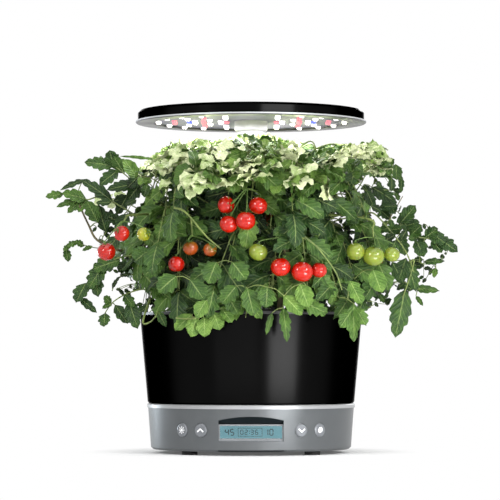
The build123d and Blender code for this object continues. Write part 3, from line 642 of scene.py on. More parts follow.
def raised(curve):
    """The same curve, lifted over the hole covers and the flap."""
    points = np.array([tuple(p) for p in curve])
    lift = np.clip(kept_free(points) - points[:, 2], 0, None)
    if not lift.any():
        return curve
    pairs = range(0, len(lift), 2)
    lift = np.maximum(lift, np.interp(range(len(lift)), pairs, np.maximum.reduceat(lift, pairs)))
    return [p + UP * float(h) for p, h in zip(curve, lift)]


def allowed(points):
    """Whether a leaflet keeps clear of gaps, shown fruits and moving parts, and within the limits."""
    depth, height = points[..., 1], points[..., 2]
    if (depth < FRONT_LIMIT).any() or (depth > REAR_LIMIT).any() or (height > TOP_LIMIT).any():
        return False
    if (height < kept_free(points)).any():
        return False
    seen = picture(points).reshape(-1, 2)
    if not inside(seen).all() or in_gap(seen).any():
        return False
    for centre, radius, front in seen_fruits:
        near = ((seen - centre) ** 2).sum(1) < radius ** 2
        if (near & (depth.reshape(-1) < front + 0.004)).any():
            return False
    return True


# ---- plants
PLANTS = {"left": 180.0, "front": 300.0, "rear": 60.0}
BASE = {plant: Vector(around(math.radians(angle), POD_CIRCLE, 0)) for plant, angle in PLANTS.items()}
leaves = {}
stems = {}
wood = {}
for plant in PLANTS:
    for zone in ("low", "high"):
        leaves[plant, zone] = Build("leaves_%s_%s" % (plant, zone), "leaf_green")
    stems[plant] = Build("stems_" + plant, "stem_green")
    wood[plant] = Build("main_stem_" + plant, "stem_woody")


def nearest(point):
    """Plant whose stem stands nearest to a point."""
    return min(PLANTS, key=lambda p: (BASE[p] - Vector((point.x, point.y, 0))).length)


def main_stem(plant, level):
    """Point on a plant's main stem at a height."""
    bend = 0.006 * math.sin(level * 40 + PLANTS[plant])
    return BASE[plant] + Vector((bend, 0.5 * bend, level))


MOST_LIMB_POINTS = 90000
limb_points = np.zeros((MOST_LIMB_POINTS, 3))
limb_owners = []
CELL = 3  # side of the picture's cells in pixels
covered = np.zeros((PICTURE // CELL, PICTURE // CELL), bool)


def cover(points):
    """Mark the cells of the picture that a leaflet covers."""
    seen = picture(points)
    for part in (seen, (seen[:, 1:] + seen[:, :-1]) / 2):
        cells = np.clip(part / CELL, 0, len(covered) - 1).astype(int).reshape(-1, 2)
        covered[cells[:, 1], cells[:, 0]] = True


def add_limb(plant, curve):
    """Remember the points of a limb, which later stalks grow from."""
    first = len(limb_owners)
    limb_points[first:first + len(curve)] = [tuple(p) for p in curve]
    limb_owners.extend([plant] * len(curve))


def held(point, back=0.0):
    """Nearest point of the limbs so far, and its plant; back prefers limbs behind the point."""
    away = limb_points[:len(limb_owners)] - np.array(point)
    i = int(((away ** 2).sum(1) + back * np.clip(-away[:, 1], 0, None) ** 2).argmin())
    return Vector(limb_points[i]), limb_owners[i]


TOUCHING = 0.0005
HIGH_TIP, HIGH_BASE = 0.29, 0.3  # compound leaves from this tip and single ones from this base are high


def attach(blade, base, thick, thin, sides, grows=False):
    """Add one leaflet and its stalk from the nearest limb; later stalks may grow from one that grows."""
    hold, plant = held(base)
    leaves[plant, "high" if base.z > HIGH_BASE else "low"].grid(*blade)
    cover(blade[0])
    if (hold - base).length > TOUCHING:
        middle = hold.lerp(base, 0.5) + UP * (0.12 * (base - hold).length)
        curve = raised(smooth_path([hold, middle, base]))
        stems[plant].tube(curve, thick, thin, sides)
        if grows:
            add_limb(plant, curve)


# kinds of compound leaves: how far they face outward, spacing of the pairs along the leaf, width of a
# leaflet, its teeth and their depth, radius of the stalk
GROWN = (1.0, 0.19, 0.62, 4, 0.3, 0.0012)
YOUNG = (0.9, 0.26, 0.8, 3, 0.1, 0.0008)
LEAST = 0.7  # share of the leaflets that must find room


def compound(plant, zone, path, size, pairs, tone, rng, kind):
    """Compound leaf: a rachis along a path, leaflets in pairs and one at its tip."""
    outward, spacing, slim, teeth, depth, stalk = kind
    curve = raised(smooth_path(path))
    total = len(curve) - 1
    blades, twigs, tried = [], [], 0
    tone = tone + rng.uniform(-0.14, 0.14)
    for k in range(pairs + 1):
        t = 1.0 if k == 0 else 1.0 - spacing * (k - 0.25)
        if t < 0.1:
            break
        i = min(total - 1, int(t * total))
        here = curve[i].lerp(curve[i + 1], t * total - i) if t < 1 else curve[-1]
        tangent = (curve[min(i + 1, total)] - curve[max(i - 1, 0)]).normalized()
        away = Vector((here.x, here.y, 0))
        facing = UP * 0.75 + outward * (away / max(0.02, away.length)) + Vector((0, -0.3, 0))
        facing = (facing - tangent * facing.dot(tangent)).normalized()
        ways = [(tangent, 1.0)]
        if k:
            side = facing.cross(tangent)
            scale = (0.95, 0.82, 0.66)[k - 1]
            lean = math.radians(54 + 14 * rng.random())
            ways = [(tangent * math.cos(lean) + side * hand * math.sin(lean),
                     scale * (0.85 + 0.3 * rng.random())) for hand in (-1, 1)]
        for way, scale in ways:
            length = size * scale
            tilt = Vector((rng.uniform(-1, 1), rng.uniform(-1, 1), rng.uniform(-1, 1))) * 0.5
            foot = here + way * 0.1 * length
            way = (way - UP * 0.3 * rng.random()).normalized()
            tone_here = min(1, max(0, tone + rng.uniform(-0.1, 0.1)))
            tried += 1
            blade = leaflet(
                foot, foot + way * length, (facing + tilt).normalized(), slim * length, tone_here, rng,
                teeth, depth, droop=rng.uniform(0.2, 0.7), fold=rng.uniform(0.05, 0.35))
            if allowed(blade[0]):
                blades.append(blade)
                if k:
                    twigs.append([here, foot + way * 0.08 * length])
    if len(blades) < LEAST * tried:
        return False
    for blade in blades:
        leaves[plant, zone].grid(*blade)
        cover(blade[0])
    for twig in twigs:
        stems[plant].tube(twig, 0.0006, 0.0004, 4)
    stems[plant].tube(curve, stalk, 0.0005, 5)
    add_limb(plant, curve)
    return True


# how far the foliage reaches from the post at a height: height, left, right and depth, all in mm
REACH = np.array([
    (140, 112, 118, 118), (160, 132, 146, 136), (182, 150, 182, 150), (206, 172, 204, 160),
    (239, 178, 212, 168), (269, 188, 194, 172), (285, 188, 180, 170), (306, 174, 176, 162),
    (323, 150, 172, 150), (344, 124, 166, 134), (357, 104, 152, 114), (370, 60, 100, 70),
], float)


REAR_SHARE = 0.93  # share of the depth that the foliage takes behind the post


def reach(angle, level):
    """Radius of the foliage in a direction at a height in mm."""
    left, right, depth = (np.interp(level, REACH[:, 0], REACH[:, i]) for i in (1, 2, 3))
    wide = right if math.cos(angle) > 0 else left
    if math.sin(angle) > 0:
        depth *= REAR_SHARE
    return 1 / math.hypot(math.cos(angle) / wide, math.sin(angle) / depth)


STEM_FOOT, STEM_TOP = 0.159, 0.352
for plant in PLANTS:
    rise = [main_stem(plant, z) for z in np.linspace(STEM_FOOT, STEM_TOP, 20)]
    wood[plant].tube(rise, 0.0042, 0.0022, 10)
    add_limb(plant, rise)

rng = random.Random(7)
tiers = [
    # leaves round the garden, share of the reach, then in mm height of the tips, hang of the leaf and
    # length of the leaflets, then tone
    # the outer tiers' tones rise toward the top as painted light of the hood lamp
    (15, 0.96, 150, 52, 38, 0.36), (16, 0.97, 172, 52, 40, 0.34), (17, 0.98, 196, 50, 42, 0.33),
    (17, 0.98, 222, 50, 42, 0.36), (17, 0.98, 248, 48, 42, 0.33), (17, 0.97, 274, 46, 42, 0.36),
    (17, 0.97, 298, 42, 38, 0.40), (18, 0.95, 320, 34, 31, 0.52), (18, 0.93, 338, 24, 26, 0.62),
    (16, 0.90, 352, 14, 23, 0.72), (12, 0.78, 362, 6, 22, 0.80),
    # inner tiers, dark with painted shade
    (12, 0.72, 160, 44, 36, 0.14), (12, 0.70, 190, 44, 38, 0.10), (12, 0.70, 222, 44, 38, 0.10),
    (12, 0.70, 254, 44, 38, 0.10), (12, 0.68, 286, 40, 36, 0.14), (11, 0.66, 316, 30, 34, 0.24),
    (10, 0.62, 338, 20, 30, 0.36), (8, 0.55, 354, 8, 26, 0.50),
]
OUTER_SHARE, SKIRT_LEVEL, SKIRT_RADIUS = 0.9, 176, 0.137  # the lowest outer leaves hang this far out
LEAF_TOP, ROOT_LOW, ROOT_HIGH = 0.372, 0.168, 0.345
for tier, (count, share, end, hang, size, tone) in enumerate(tiers):
    for number in range(count):
        angle = 2 * math.pi * (number + 0.5 * (tier % 2) + rng.uniform(-0.28, 0.28)) / count
        level = end + rng.uniform(-9, 9)
        out = share * rng.uniform(0.93, 1.03)
        for shrink in range(6):
            radius = reach(angle, level) * out * (1 - 0.07 * shrink) / 1000
            if share > OUTER_SHARE and level < SKIRT_LEVEL:
                radius = max(radius, SKIRT_RADIUS)
            tip = Vector(around(angle, radius, level / 1000))
            plant = nearest(tip)
            top = min(LEAF_TOP, tip.z + (hang + rng.uniform(-8, 8)) / 1000)
            root = main_stem(plant, min(ROOT_HIGH, max(ROOT_LOW, top - 0.03)))
            crest = root.lerp(tip, 0.72)
            crest.z = top
            half = root.lerp(crest, 0.5)
            half.z = 0.35 * root.z + 0.65 * top
            late = crest.lerp(tip, 0.55)
            late.z = 0.58 * top + 0.42 * tip.z
            zone = "high" if tip.z > HIGH_TIP else "low"
            if compound(plant, zone, [root, half, crest, late, tip], size / 1000, 3, tone, rng, GROWN):
                break

# small leaves of young shoots under the light: most pale with painted light, paler higher up, some with
# painted shade
POST_ROOM, SHORTEST_SHOOT = 0.026, 0.008
rng = random.Random(21)
for number in range(390):
    angle = rng.uniform(0, 2 * math.pi)
    if number % 3:
        level = rng.uniform(298, 366)
        part = rng.uniform(0.93, 1.04)
    else:
        part = rng.uniform(0.1, 0.95) ** 0.7
        level = 368 - 20 * part ** 2 - rng.uniform(0, 20)
    radius = part * reach(angle, level) / 1000
    tip = Vector(around(angle, radius, level / 1000))
    hold, plant = held(Vector((tip.x * 0.85, tip.y * 0.85, tip.z - 0.012)))
    if radius < POST_ROOM or (hold - tip).length < SHORTEST_SHOOT:
        continue
    middle = hold.lerp(tip, 0.55) + UP * 0.004
    length = rng.uniform(0.015, 0.026)
    shade = rng.uniform(-0.4, 0.14)
    # pale tones paint the light of the lamp above, growing with height; the dark tone paints shade
    tone = 0.4 if shade < -0.29 else 0.99 + 0.004 * (level - 330) + 0.35 * shade
    compound(plant, "high", [hold, middle, tip], length, 2, tone, rng, YOUNG)

# leaf stalks and shoots that show against the leaves: picture points, distance in front, radius, woody or not
SHOOTS = [
    ([(118, 250), (97, 240), (88, 224), (79, 205)], 26, .0016, True),
    ([(146, 196), (138, 186), (122, 172), (112, 164)], 16, .0009),
    ([(150, 225), (122, 207), (100, 197), (84, 200), (63, 194)], 22, .0010),
    ([(110, 247), (97, 248), (84, 245), (76, 242), (66, 249)], 31, .0006),
    ([(146, 252), (122, 257), (104, 264), (93, 276), (84, 290), (80, 300)], 60, .0011),
    ([(152, 288), (138, 290), (124, 295), (112, 303), (105, 313)], 72, .0009),
    ([(138, 275), (126, 274), (116, 281), (112, 291)], 60, .0008),
    ([(143, 323), (150, 322), (156, 316)], 122, .0012),
    ([(380, 236), (389, 220), (396, 208), (403, 196)], 16, .0008, True),
    ([(352, 196), (364, 178), (370, 158), (374, 141)], 2, .0008),
    ([(368, 168), (384, 164), (396, 172), (400, 186)], 8, .0008),
    ([(356, 210), (366, 194), (380, 190), (392, 190)], 10, .0008),
    ([(191, 218), (206, 236), (221, 249)], 140, .0012),
    ([(185, 187), (198, 197), (210, 204)], 100, .0008),
    ([(294, 229), (316, 246), (335, 271), (342, 290)], 168, .0010),
    ([(375, 214), (389, 229), (405, 250), (414, 272)], 60, .0010),
    ([(414, 262), (409, 280), (402, 300), (397, 320)], 62, .0009),
    ([(404, 282), (418, 289), (438, 291)], 42, .0007),
    ([(278, 236), (281, 215), (288, 198)], 110, .0018, True),
    ([(176, 318), (196, 318), (206, 306), (222, 296)], 154, .0009),
    ([(385, 228), (404, 235), (425, 238), (440, 241), (450, 250)], 22, .0009),
    ([(420, 262), (432, 264), (440, 262)], 20, .0006),
    ([(216, 160), (219, 172), (219, 184)], 112, .0010),
    ([(238, 172), (254, 178), (264, 186)], 112, .0009),
    ([(262, 160), (270, 172), (280, 164), (290, 158)], 110, .0008),
    ([(170, 152), (184, 160), (198, 168)], 84, .0009),
    ([(172, 176), (186, 172), (196, 166)], 80, .0008),
]
for points, front, radius, *woody in SHOOTS:
    path = [place(x, y, front) for x, y in points]
    hold, plant = held(path[0], 3.0)
    curve = raised(smooth_path([hold, hold.lerp(path[0], 0.5) + UP * 0.003] + path))
    target = wood if woody else stems
    target[plant].tube(curve, radius * 1.2, radius * 0.7, 6)
    add_limb(plant, curve)

# single leaflets that show in the photo, by picture points: base, tip, width, tone, distance in front
HERO = [
    (113, 166, 84, 162, 12, .40, 10), (114, 167, 109, 150, 15, .36, 12), (118, 170, 99, 185, 14, .30, 12),
    (124, 173, 113, 156, 12, .38, 14), (135, 184, 106, 190, 11, .18, 16), (137, 178, 123, 159, 14, .62, 30),
    (154, 159, 119, 156, 3, .50, 0), (112, 201, 80, 179, 11, .22, 20), (83, 180, 60, 190, 6, .20, 20),
    (63, 194, 45, 197, 8, .55, 20), (86, 199, 61, 193, 15, .52, 22), (78, 199, 56, 207, 6, .45, 22),
    (80, 201, 67, 213, 7, .45, 22), (86, 200, 78, 212, 10, .5, 22), (98, 222, 86, 200, 12, .42, 30),
    (106, 232, 98, 204, 14, .22, 24), (120, 222, 100, 214, 13, .2, 20), (84, 246, 74, 241, 6, .5, 30),
    (77, 242, 66, 247, 6, .5, 30), (70, 245, 63, 251, 5, .5, 30), (66, 249, 68, 262, 7, .42, 30),
    (92, 246, 82, 251, 4, .5, 30), (120, 260, 92, 270, 18, .40, 60), (104, 264, 88, 290, 17, .36, 60),
    (96, 274, 98, 297, 12, .3, 60), (86, 283, 76, 303, 13, .3, 60), (80, 298, 97, 313, 7, .2, 60),
    (112, 288, 120, 276, 4, .1, 60), (120, 276, 132, 274, 4, .1, 60), (112, 303, 102, 309, 5, .42, 70),
    (111, 304, 104, 296, 7, .44, 70), (105, 313, 104, 327, 10, .34, 70), (115, 305, 128, 324, 10, .3, 70),
    (129, 301, 138, 329, 13, .28, 80), (124, 295, 134, 307, 9, .4, 80), (158, 311, 166, 327, 7, .34, 120),
    (192, 314, 175, 331, 12, .66, 150), (196, 317, 191, 337, 15, .70, 152),
    (204, 317, 205, 337, 15, .72, 154), (213, 312, 220, 330, 15, .68, 152),
    (222, 309, 232, 323, 11, .6, 150), (206, 300, 196, 318, 14, .62, 158),
    (228, 296, 238, 314, 16, .42, 150), (374, 157, 373, 138, 5, .8, 0), (370, 158, 384, 146, 8, .78, 0),
    (384, 162, 377, 149, 10, .8, 0), (384, 168, 395, 159, 9, .46, 10), (394, 170, 403, 181, 6, .35, 10),
    (402, 178, 401, 193, 5, .3, 10), (396, 164, 397, 180, 10, .4, 14), (372, 187, 397, 203, 13, .16, 10),
    (380, 190, 384, 200, 7, .16, 10), (379, 207, 399, 206, 8, .22, 14), (401, 223, 416, 205, 12, .34, 20),
    (406, 226, 420, 222, 9, .3, 20), (438, 238, 458, 252, 14, .3, 20), (425, 238, 438, 228, 12, .34, 20),
    (410, 236, 422, 225, 13, .34, 20), (432, 240, 442, 253, 11, .3, 20), (416, 240, 424, 257, 14, .28, 20),
    (400, 236, 405, 256, 14, .3, 24), (424, 262, 445, 261, 6, .36, 20), (436, 268, 434, 278, 5, .7, 20),
    (408, 263, 416, 292, 15, .34, 40), (415, 288, 440, 291, 8, .42, 40), (416, 296, 423, 306, 4, .4, 40),
    (405, 290, 395, 338, 21, .34, 60), (354, 304, 354, 342, 15, .52, 130),
    (353, 308, 340, 328, 12, .50, 130), (355, 308, 366, 326, 12, .54, 130),
    (300, 284, 309, 308, 17, .66, 160), (284, 296, 302, 315, 13, .64, 160),
    (373, 270, 382, 293, 17, .62, 120), (267, 287, 266, 308, 18, .44, 165),
    (283, 308, 287, 342, 9, .46, 150), (272, 313, 266, 335, 5, .46, 150), (350, 281, 362, 305, 15, .6, 140),
    (281, 176, 275, 202, 12, .66, 120), (186, 186, 172, 206, 22, .34, 60),
    (176, 172, 190, 190, 20, .36, 60), (396, 240, 386, 262, 15, .30, 40), (392, 262, 404, 284, 14, .28, 44),
    (406, 258, 398, 282, 14, .30, 44), (424, 240, 418, 256, 12, .30, 20), (384, 196, 396, 214, 12, .24, 12),
    (400, 214, 410, 232, 12, .28, 16), (430, 232, 446, 244, 12, .30, 20), (118, 236, 104, 256, 14, .26, 40),
    (132, 262, 118, 272, 13, .28, 50), (128, 214, 116, 232, 14, .22, 24), (140, 184, 128, 200, 12, .24, 16),
    (247, 288, 254, 316, 18, .46, 160), (236, 286, 222, 304, 18, .46, 158),
    (176, 276, 158, 292, 20, .42, 150), (190, 280, 204, 300, 20, .40, 152),
    (150, 250, 134, 262, 22, .38, 120), (160, 262, 144, 276, 20, .40, 130),
    (216, 262, 208, 284, 20, .44, 150), (232, 262, 246, 280, 20, .44, 155),
]
rng = random.Random(5)
for x1, y1, x2, y2, width, tone, front in HERO:
    base, tip = place(x1, y1, front), place(x2, y2, front + 6)
    slim = (1.35 if width < 14 else 1.1) * width / SCALE / 1000
    rounded = tone > 0.6 and width > 8
    blade = leaflet(
        base, tip, Vector((rng.uniform(-0.3, 0.3), -1, 0.45)), slim, 0.85 * tone, rng,
        teeth=4 if (tip - base).length > 0.034 else 3, depth=0.12 if rounded else 0.26,
        droop=0.15, fold=0.18, wave=0.05)
    attach(blade, base, 0.0007, 0.0005, 5, grows=True)

# dark leaflets in painted shade that close the holes between those in front, with painted light near the top
FILL_LEFT, FILL_RIGHT, FILL_TOP, FILL_BOTTOM = 86, 452, 132, 326
rng = random.Random(33)
for row in range(FILL_TOP // CELL, FILL_BOTTOM // CELL):
    for column in range(FILL_LEFT // CELL, FILL_RIGHT // CELL):
        x, y = (column + 0.5) * CELL, (row + 0.5) * CELL
        spot = np.array([[x, y]])
        if covered[row, column] or not inside(spot)[0] or in_gap(spot)[0]:
            continue
        if any((x - c[0]) ** 2 + (y - c[1]) ** 2 < r ** 2 for c, r, _ in seen_fruits):
            continue
        aside, level = (x - CENTRE_X) / SCALE, EYE + (HORIZON - y) / SCALE
        wide = reach(0.0 if aside > 0 else math.pi, level)
        room = reach(-math.pi / 2, level) * math.sqrt(max(0.0, 1 - (aside / wide) ** 2))
        for attempt in range(10):
            middle = place(x, y, room * rng.uniform(0.0, 0.75))
            way = Vector((rng.uniform(-1, 1), rng.uniform(-0.4, 0.2), rng.uniform(-1.2, 0.3))).normalized()
            long = rng.uniform(0.014, 0.026) * (1 - 0.07 * attempt)
            base, tip = middle - way * 0.5 * long, middle + way * 0.5 * long
            # low tones paint shade; above 330 mm they are raised as painted light of the lamp
            tone = rng.uniform(0.1, 0.34) + (0.3 if level > 330 else 0)
            blade = leaflet(
                base, tip, Vector((rng.uniform(-0.5, 0.5), -1, rng.uniform(0, 0.6))), 0.7 * long, tone, rng,
                teeth=3, depth=0.25, droop=rng.uniform(0, 0.4), fold=0.15, wave=0.06)
            if allowed(blade[0]):
                attach(blade, base, 0.0006, 0.0004, 4)
                break


# ---- fruits
def polar(rows, columns, limit):
    """Angles from a pole to a limit, as a column, and round it, as a row."""
    theta = np.linspace(0, 2 * math.pi, columns, endpoint=False)[None, :]
    return np.linspace(0.0, limit, rows)[:, None], theta


def spun(phi, theta, radius, height):
    """Points of a round form from its angles, radius and height."""
    x, y = radius * np.sin(phi) * np.cos(theta), radius * np.sin(phi) * np.sin(theta)
    return np.stack(np.broadcast_arrays(x, y, height), -1)


def fruit_grid(build, centre, radius, axis, rng):
    """Slightly lobed fruit with a dimple under its calyx."""
    axis = Vector(axis).normalized()
    phi, theta = polar(20, 32, math.pi)
    lobes = 1 + 0.012 * np.cos(5 * theta + rng.random() * 6) * np.sin(phi)
    dimple = 1 - 0.16 * np.exp(-(phi / 0.32) ** 2) - 0.03 * np.exp(-((math.pi - phi) / 0.25) ** 2)
    r = radius * lobes * dimple
    spin = np.array(UP.rotation_difference(axis).to_matrix())
    points = spun(phi, theta, r, 0.95 * r * np.cos(phi)) @ spin.T + np.array(centre)
    tone = np.clip((np.cos(phi) - 0.2) * 1.1, 0, 1)
    build.grid(points, (phi / math.pi, theta / (2 * math.pi)), tone, closed=True)
    return Vector(centre) + axis * radius * 0.8, axis


def calyx(build, spot, axis, radius, rng):
    """Five curled sepals round the end of the stalk."""
    side = axis.orthogonal().normalized()
    for k in range(5):
        way = Quaternion(axis, 2 * math.pi * (k + rng.uniform(-0.15, 0.15)) / 5) @ side
        out = spot + way * radius * rng.uniform(0.7, 0.95) + axis * radius * rng.uniform(0.0, 0.35)
        build.grid(*leaflet(
            spot + axis * 0.0006, out, axis, radius * 0.24, 0.5, rng,
            teeth=2, depth=0.0, droop=-0.5, fold=0.1, wave=0.0))


rng = random.Random(11)
for plant in PLANTS:
    fruits = {}
    greens = Build("calyxes_" + plant, "calyx_green")
    turn = 0
    for level, end, count in TRUSSES[plant]:
        tip = Vector(end) / 1000
        root = main_stem(plant, level / 1000)
        middle = root.lerp(tip, 0.55) + Vector((0, 0, 0.006))
        hung = FRUITS[plant][turn:turn + count]
        middle_x, middle_y = (sum(f[i] for f in hung) / count / 1000 for i in (0, 1))
        knot = Vector((middle_x, middle_y * 0.96, max(f[2] + f[3] for f in hung) / 1000 + 0.005))
        droop = [root, middle, tip, knot.lerp(tip, 0.4) + UP * 0.002, knot]
        if knot.z > tip.z - 0.004:
            knot = tip
            droop = [root, middle, tip]
        stems[plant].tube(smooth_path(droop), 0.0015, 0.0009, 7)
        for x, y, z, radius, colour, axis in hung:
            centre = Vector((x, y, z)) / 1000
            if colour not in fruits:
                fruits[colour] = Build("tomatoes_%s_%s" % (plant, colour), "tomato_" + colour)
            spot, way = fruit_grid(fruits[colour], centre, radius / 1000, axis, rng)
            calyx(greens, spot, way, radius / 1000, rng)
            knee = spot + way * 0.004
            stalk = smooth_path([spot, knee, knee.lerp(knot, 0.6) + UP * 0.002, knot], 4)
            greens.tube(stalk, 0.0006, 0.0007, 6)
        turn += count
    made = [b.make("housing", "tomato_red") for b in fruits.values()]
    made.append(greens.make("housing", "stem_green"))
    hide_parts("tomatoes_" + plant)
    blades = [leaves[plant, zone].make("housing", "leaf_green") for zone in ("low", "high")]
    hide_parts("plant_leaves_" + plant)
    stalks = [stems[plant].make("housing", "stem_green"), wood[plant].make("housing", "stem_green")]
    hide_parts("plant_stem_" + plant)
    for piece in made + blades + stalks:
        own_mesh(piece)


# ---- display and buttons
def prism(name, outlines, look, body, spot, outward, low, high):
    """Flat raised marks from outlines in mm, standing from low to high along outward."""
    across = Vector((-outward.y, outward.x, 0))
    vertices, faces = [], []
    for outline in outlines:
        first = len(vertices)
        n = len(outline)
        for level in (low, high):
            for x, y in outline:
                vertices.append(spot + across * (x / 1000) + UP * (y / 1000) + outward * level)
        faces.append(list(range(first + n, first + 2 * n)))
        faces.append(list(range(first + n - 1, first - 1, -1)))
        for i in range(n):
            j = (i + 1) % n
            faces.append([first + i, first + j, first + n + j, first + n + i])
    mesh = bpy.data.meshes.new(name)
    mesh.from_pydata([tuple(v) for v in vertices], [], faces)
    finished(name, mesh, look, body)


def bar(x1, y1, x2, y2, width):
    """Outline of a straight stroke."""
    a, b = Vector((x1, y1)), Vector((x2, y2))
    side = (b - a).normalized()
    side = Vector((-side.y, side.x)) * width / 2
    return [tuple(a + side), tuple(a - side), tuple(b - side), tuple(b + side)]


SEGMENTS = {"0": "abcdef", "1": "bc", "2": "abged", "3": "abgcd", "4": "fgbc", "5": "afgcd", "6": "afgedc"}


def digit(character, x, y, width, height, stroke):
    """Seven-segment outlines with a corner at (x, y)."""
    gap, half = 0.25, height / 2
    lines = {}
    for name, level in (("a", y + height), ("g", y + half), ("d", y)):
        lines[name] = x + gap, level, x + width - gap, level
    right = x + width
    for name, side, foot in (("b", right, y + half), ("c", right, y), ("e", x, y), ("f", x, y + half)):
        lines[name] = side, foot + gap, side, foot + half - gap
    return [bar(*lines[s], stroke) for s in SEGMENTS[character]]


low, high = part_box("lcd_window")
window_face = low.y
middle_z = 1000 * (low.z + high.z) / 2
DIGIT_GAP, COLON_ROOM = 2.2, 1.6
LARGE, SMALL = (3.6, 6.6, 1.1), (2.8, 5.0, 0.8)  # digits: width, height and stroke
marks = []
for text, x, (width, height, stroke) in (("45", -29.0, LARGE), ("0236", -11.8, SMALL), ("10", 15.4, LARGE)):
    for k, character in enumerate(text):
        extra = COLON_ROOM if len(text) == 4 and k > 1 else 0
        left = x + k * (width + DIGIT_GAP) + extra
        marks += digit(character, left, middle_z - height / 2, width, height, stroke)
COLON = -1.55
FRAME_LEFT, FRAME_RIGHT, FRAME_HALF = -14.5, 12.5, 4.6
for x1, y1, x2, y2, stroke in (
        (COLON, -1.6, COLON, -0.8, 0.8), (COLON, 0.8, COLON, 1.6, 0.8),
        (FRAME_LEFT, -FRAME_HALF, FRAME_RIGHT, -FRAME_HALF, 0.5),
        (FRAME_LEFT, FRAME_HALF, FRAME_RIGHT, FRAME_HALF, 0.5),
        (FRAME_LEFT, -FRAME_HALF, FRAME_LEFT, FRAME_HALF, 0.5),
        (FRAME_RIGHT, -FRAME_HALF, FRAME_RIGHT, FRAME_HALF, 0.5)):
    marks.append(bar(x1, middle_z + y1, x2, middle_z + y2, stroke))
prism("display_digits", marks, "digit_dark", "housing", Vector((0, window_face, 0)),
      Vector((0, -1, 0)), 0.00002, 0.00007)

sun = [around(k * math.pi / 8, 1.6, 0)[:2] for k in range(16)]
rays = [bar(*around(a, 2.2, 0)[:2], *around(a, 4.3, 0)[:2], 0.9) for a in [k * math.pi / 4 for k in range(8)]]
ICONS = {
    "light": [sun] + rays,
    "up": [bar(-3.9, -1.7, 0.4, 2.0, 1.5), bar(3.9, -1.7, -0.4, 2.0, 1.5)],
    "down": [bar(-3.9, 1.7, 0.4, -2.0, 1.5), bar(3.9, 1.7, -0.4, -2.0, 1.5)],
    "feed": [[(-3.0, -2.2), (-3.2, 0.8), (-1.5, 3.0), (1.7, 3.2), (3.2, 1.5), (2.8, -1.0), (0.5, -3.0),
              (-1.7, -3.2)]],
}
ICON_LEVEL = 0.0287
for key, lean in (("light", -41.2), ("up", -28.7), ("down", 28.7), ("feed", 41.2)):
    outward = Vector(around(math.radians(270 + lean), 1, 0))
    face = max(v.co.dot(outward) for v in nodes[key + "_button"].data.vertices)
    spot = outward * face + UP * ICON_LEVEL
    prism("icon_" + key, ICONS[key], "icon_white", key + "_key", spot, outward,
          -0.0001, 0.00012)

# ---- lights of the hood
LENS_RADIUS, LENS_DROP, LED_APART = 0.0021, 0.0032, 0.0045
for colour in ("white", "red", "blue"):
    centres = []
    for vertex in nodes["leds_" + colour].data.vertices:
        for centre, corners in centres:
            if (vertex.co.xy - centre).length < LED_APART:
                corners.append(vertex.co.copy())
                break
        else:
            centres.append((vertex.co.xy, [vertex.co.copy()]))
    lens = Build("led_lenses_" + colour, "led_" + colour)
    for _, corners in centres:
        middle = sum(corners, Vector()) / len(corners)
        foot = np.array((middle.x, middle.y, max(c.z for c in corners)))
        phi, theta = polar(6, 12, math.pi / 2)
        points = foot + spun(phi, theta, LENS_RADIUS, -LENS_DROP * np.cos(phi))
        lens.grid(points, (phi, theta), 0.5, closed=True)
    piece = lens.make("hood", "led_" + colour)
    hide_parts("leds_" + colour)

# ---- stage and light
FLOOR_SIZE = 40
FLOOR_GLOW = 0.1  # share of plain white that the floor under the object has of its own
GLOW_FROM, GLOW_TO = 0.122, 0.2  # radii between which the floor turns plain white


def seen_directly(s):
    """1 for the rays that see the background: camera, glossy and transmission rays."""
    kinds = s.node("ShaderNodeLightPath", {}).outputs
    seen = s.math("MAXIMUM", kinds["Is Camera Ray"], kinds["Is Glossy Ray"])
    return s.math("MAXIMUM", seen, kinds["Is Transmission Ray"])


paper = bpy.data.meshes.new("floor")
corners = [(-FLOOR_SIZE, -FLOOR_SIZE, 0), (FLOOR_SIZE, -FLOOR_SIZE, 0), (FLOOR_SIZE, FLOOR_SIZE, 0),
           (-FLOOR_SIZE, FLOOR_SIZE, 0)]
paper.from_pydata(corners, [], [(0, 1, 2, 3)])
floor = put("floor", paper)
paint = bpy.data.materials.new("floor_white")
paper.materials.append(paint)
s = Tree(paint)
s.tree.nodes.clear()
position = s.node("ShaderNodeNewGeometry", {}).outputs["Position"]
away = s.node("ShaderNodeVectorMath", {0: position}, operation="LENGTH").outputs["Value"]
white_share = s.math("MULTIPLY", s.span(away, FLOOR_GLOW, 1.0, GLOW_FROM, GLOW_TO), seen_directly(s))
diffuse = s.node("ShaderNodeBsdfDiffuse", {"Color": (0.92, 0.92, 0.92, 1)})
white = s.node("ShaderNodeEmission", {"Strength": 1.0})
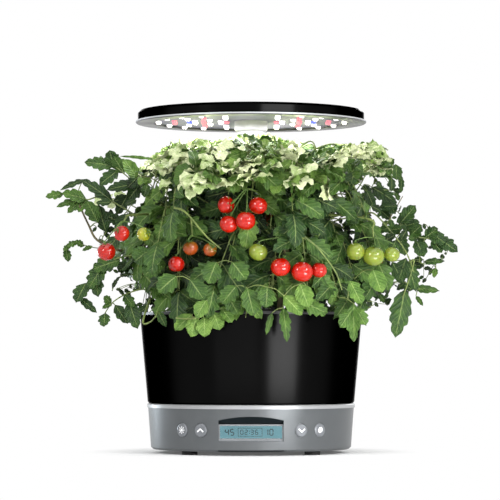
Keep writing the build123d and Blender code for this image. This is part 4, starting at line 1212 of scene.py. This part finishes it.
s.surface("ShaderNodeOutputMaterial", white_share, diffuse, white)

world = bpy.data.worlds.new("studio")
bpy.context.scene.world = world
s = Tree(world)
s.tree.nodes.clear()
soft = s.node("ShaderNodeBackground", {"Color": (1.0, 1.0, 0.98, 1), "Strength": 0.4})
white = s.node("ShaderNodeBackground", {"Color": (1, 1, 1, 1), "Strength": 1.0})
s.surface("ShaderNodeOutputWorld", seen_directly(s), soft, white)


def area_light(name, shape, size, power):
    """Light that shines from an area."""
    data = bpy.data.lights.new(name, "AREA")
    data.shape = shape
    data.size = size
    data.energy = power
    return put(name, data)


def panel(name, azimuth, distance, level, width, height, power, aim_z=0.2, colour=(1, 1, 1)):
    """Soft light panel aimed at the object; azimuth 0 is the front, growing to the right."""
    lamp = area_light(name, "RECTANGLE", width, power)
    lamp.data.size_y = height
    lamp.data.color = colour
    angle = math.radians(azimuth)
    lamp.location = (distance * math.sin(angle), -distance * math.cos(angle), level)
    aim = Vector((0, 0, aim_z)) - lamp.location
    lamp.rotation_euler = aim.to_track_quat("-Z", "Y").to_euler()


panel("key_right", 46, 2.1, 1.02, 0.5, 0.56, 19)
panel("key_left", -46, 2.1, 1.02, 0.5, 0.56, 21)
panel("hood_band", 26, 1.7, 0.53, 0.95, 0.26, 7.0, aim_z=0.39)
panel("bowl_band", 30, 0.47, 0.056, 0.22, 0.11, 1.15, aim_z=0.1)
panel("bowl_front", -14, 0.47, 0.056, 0.34, 0.11, 0.12, aim_z=0.1)
panel("top", 0, 0.9, 2.4, 2.2, 2.2, 24)
panel("back", 160, 2.3, 1.1, 0.8, 0.8, 10)
panel("edge", -128, 1.2, 0.12, 0.14, 0.5, 7.0, aim_z=0.06, colour=(0.82, 0.93, 1.0))

HOOD_LIGHT_Z = 0.3825
for number in range(6):
    lamp = area_light("hood_light_%d" % number, "DISK", 0.06, 0.27)
    lamp.location = around(math.pi * (number + 0.5) / 3, POD_CIRCLE, HOOD_LIGHT_Z)
    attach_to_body(lamp, "hood")
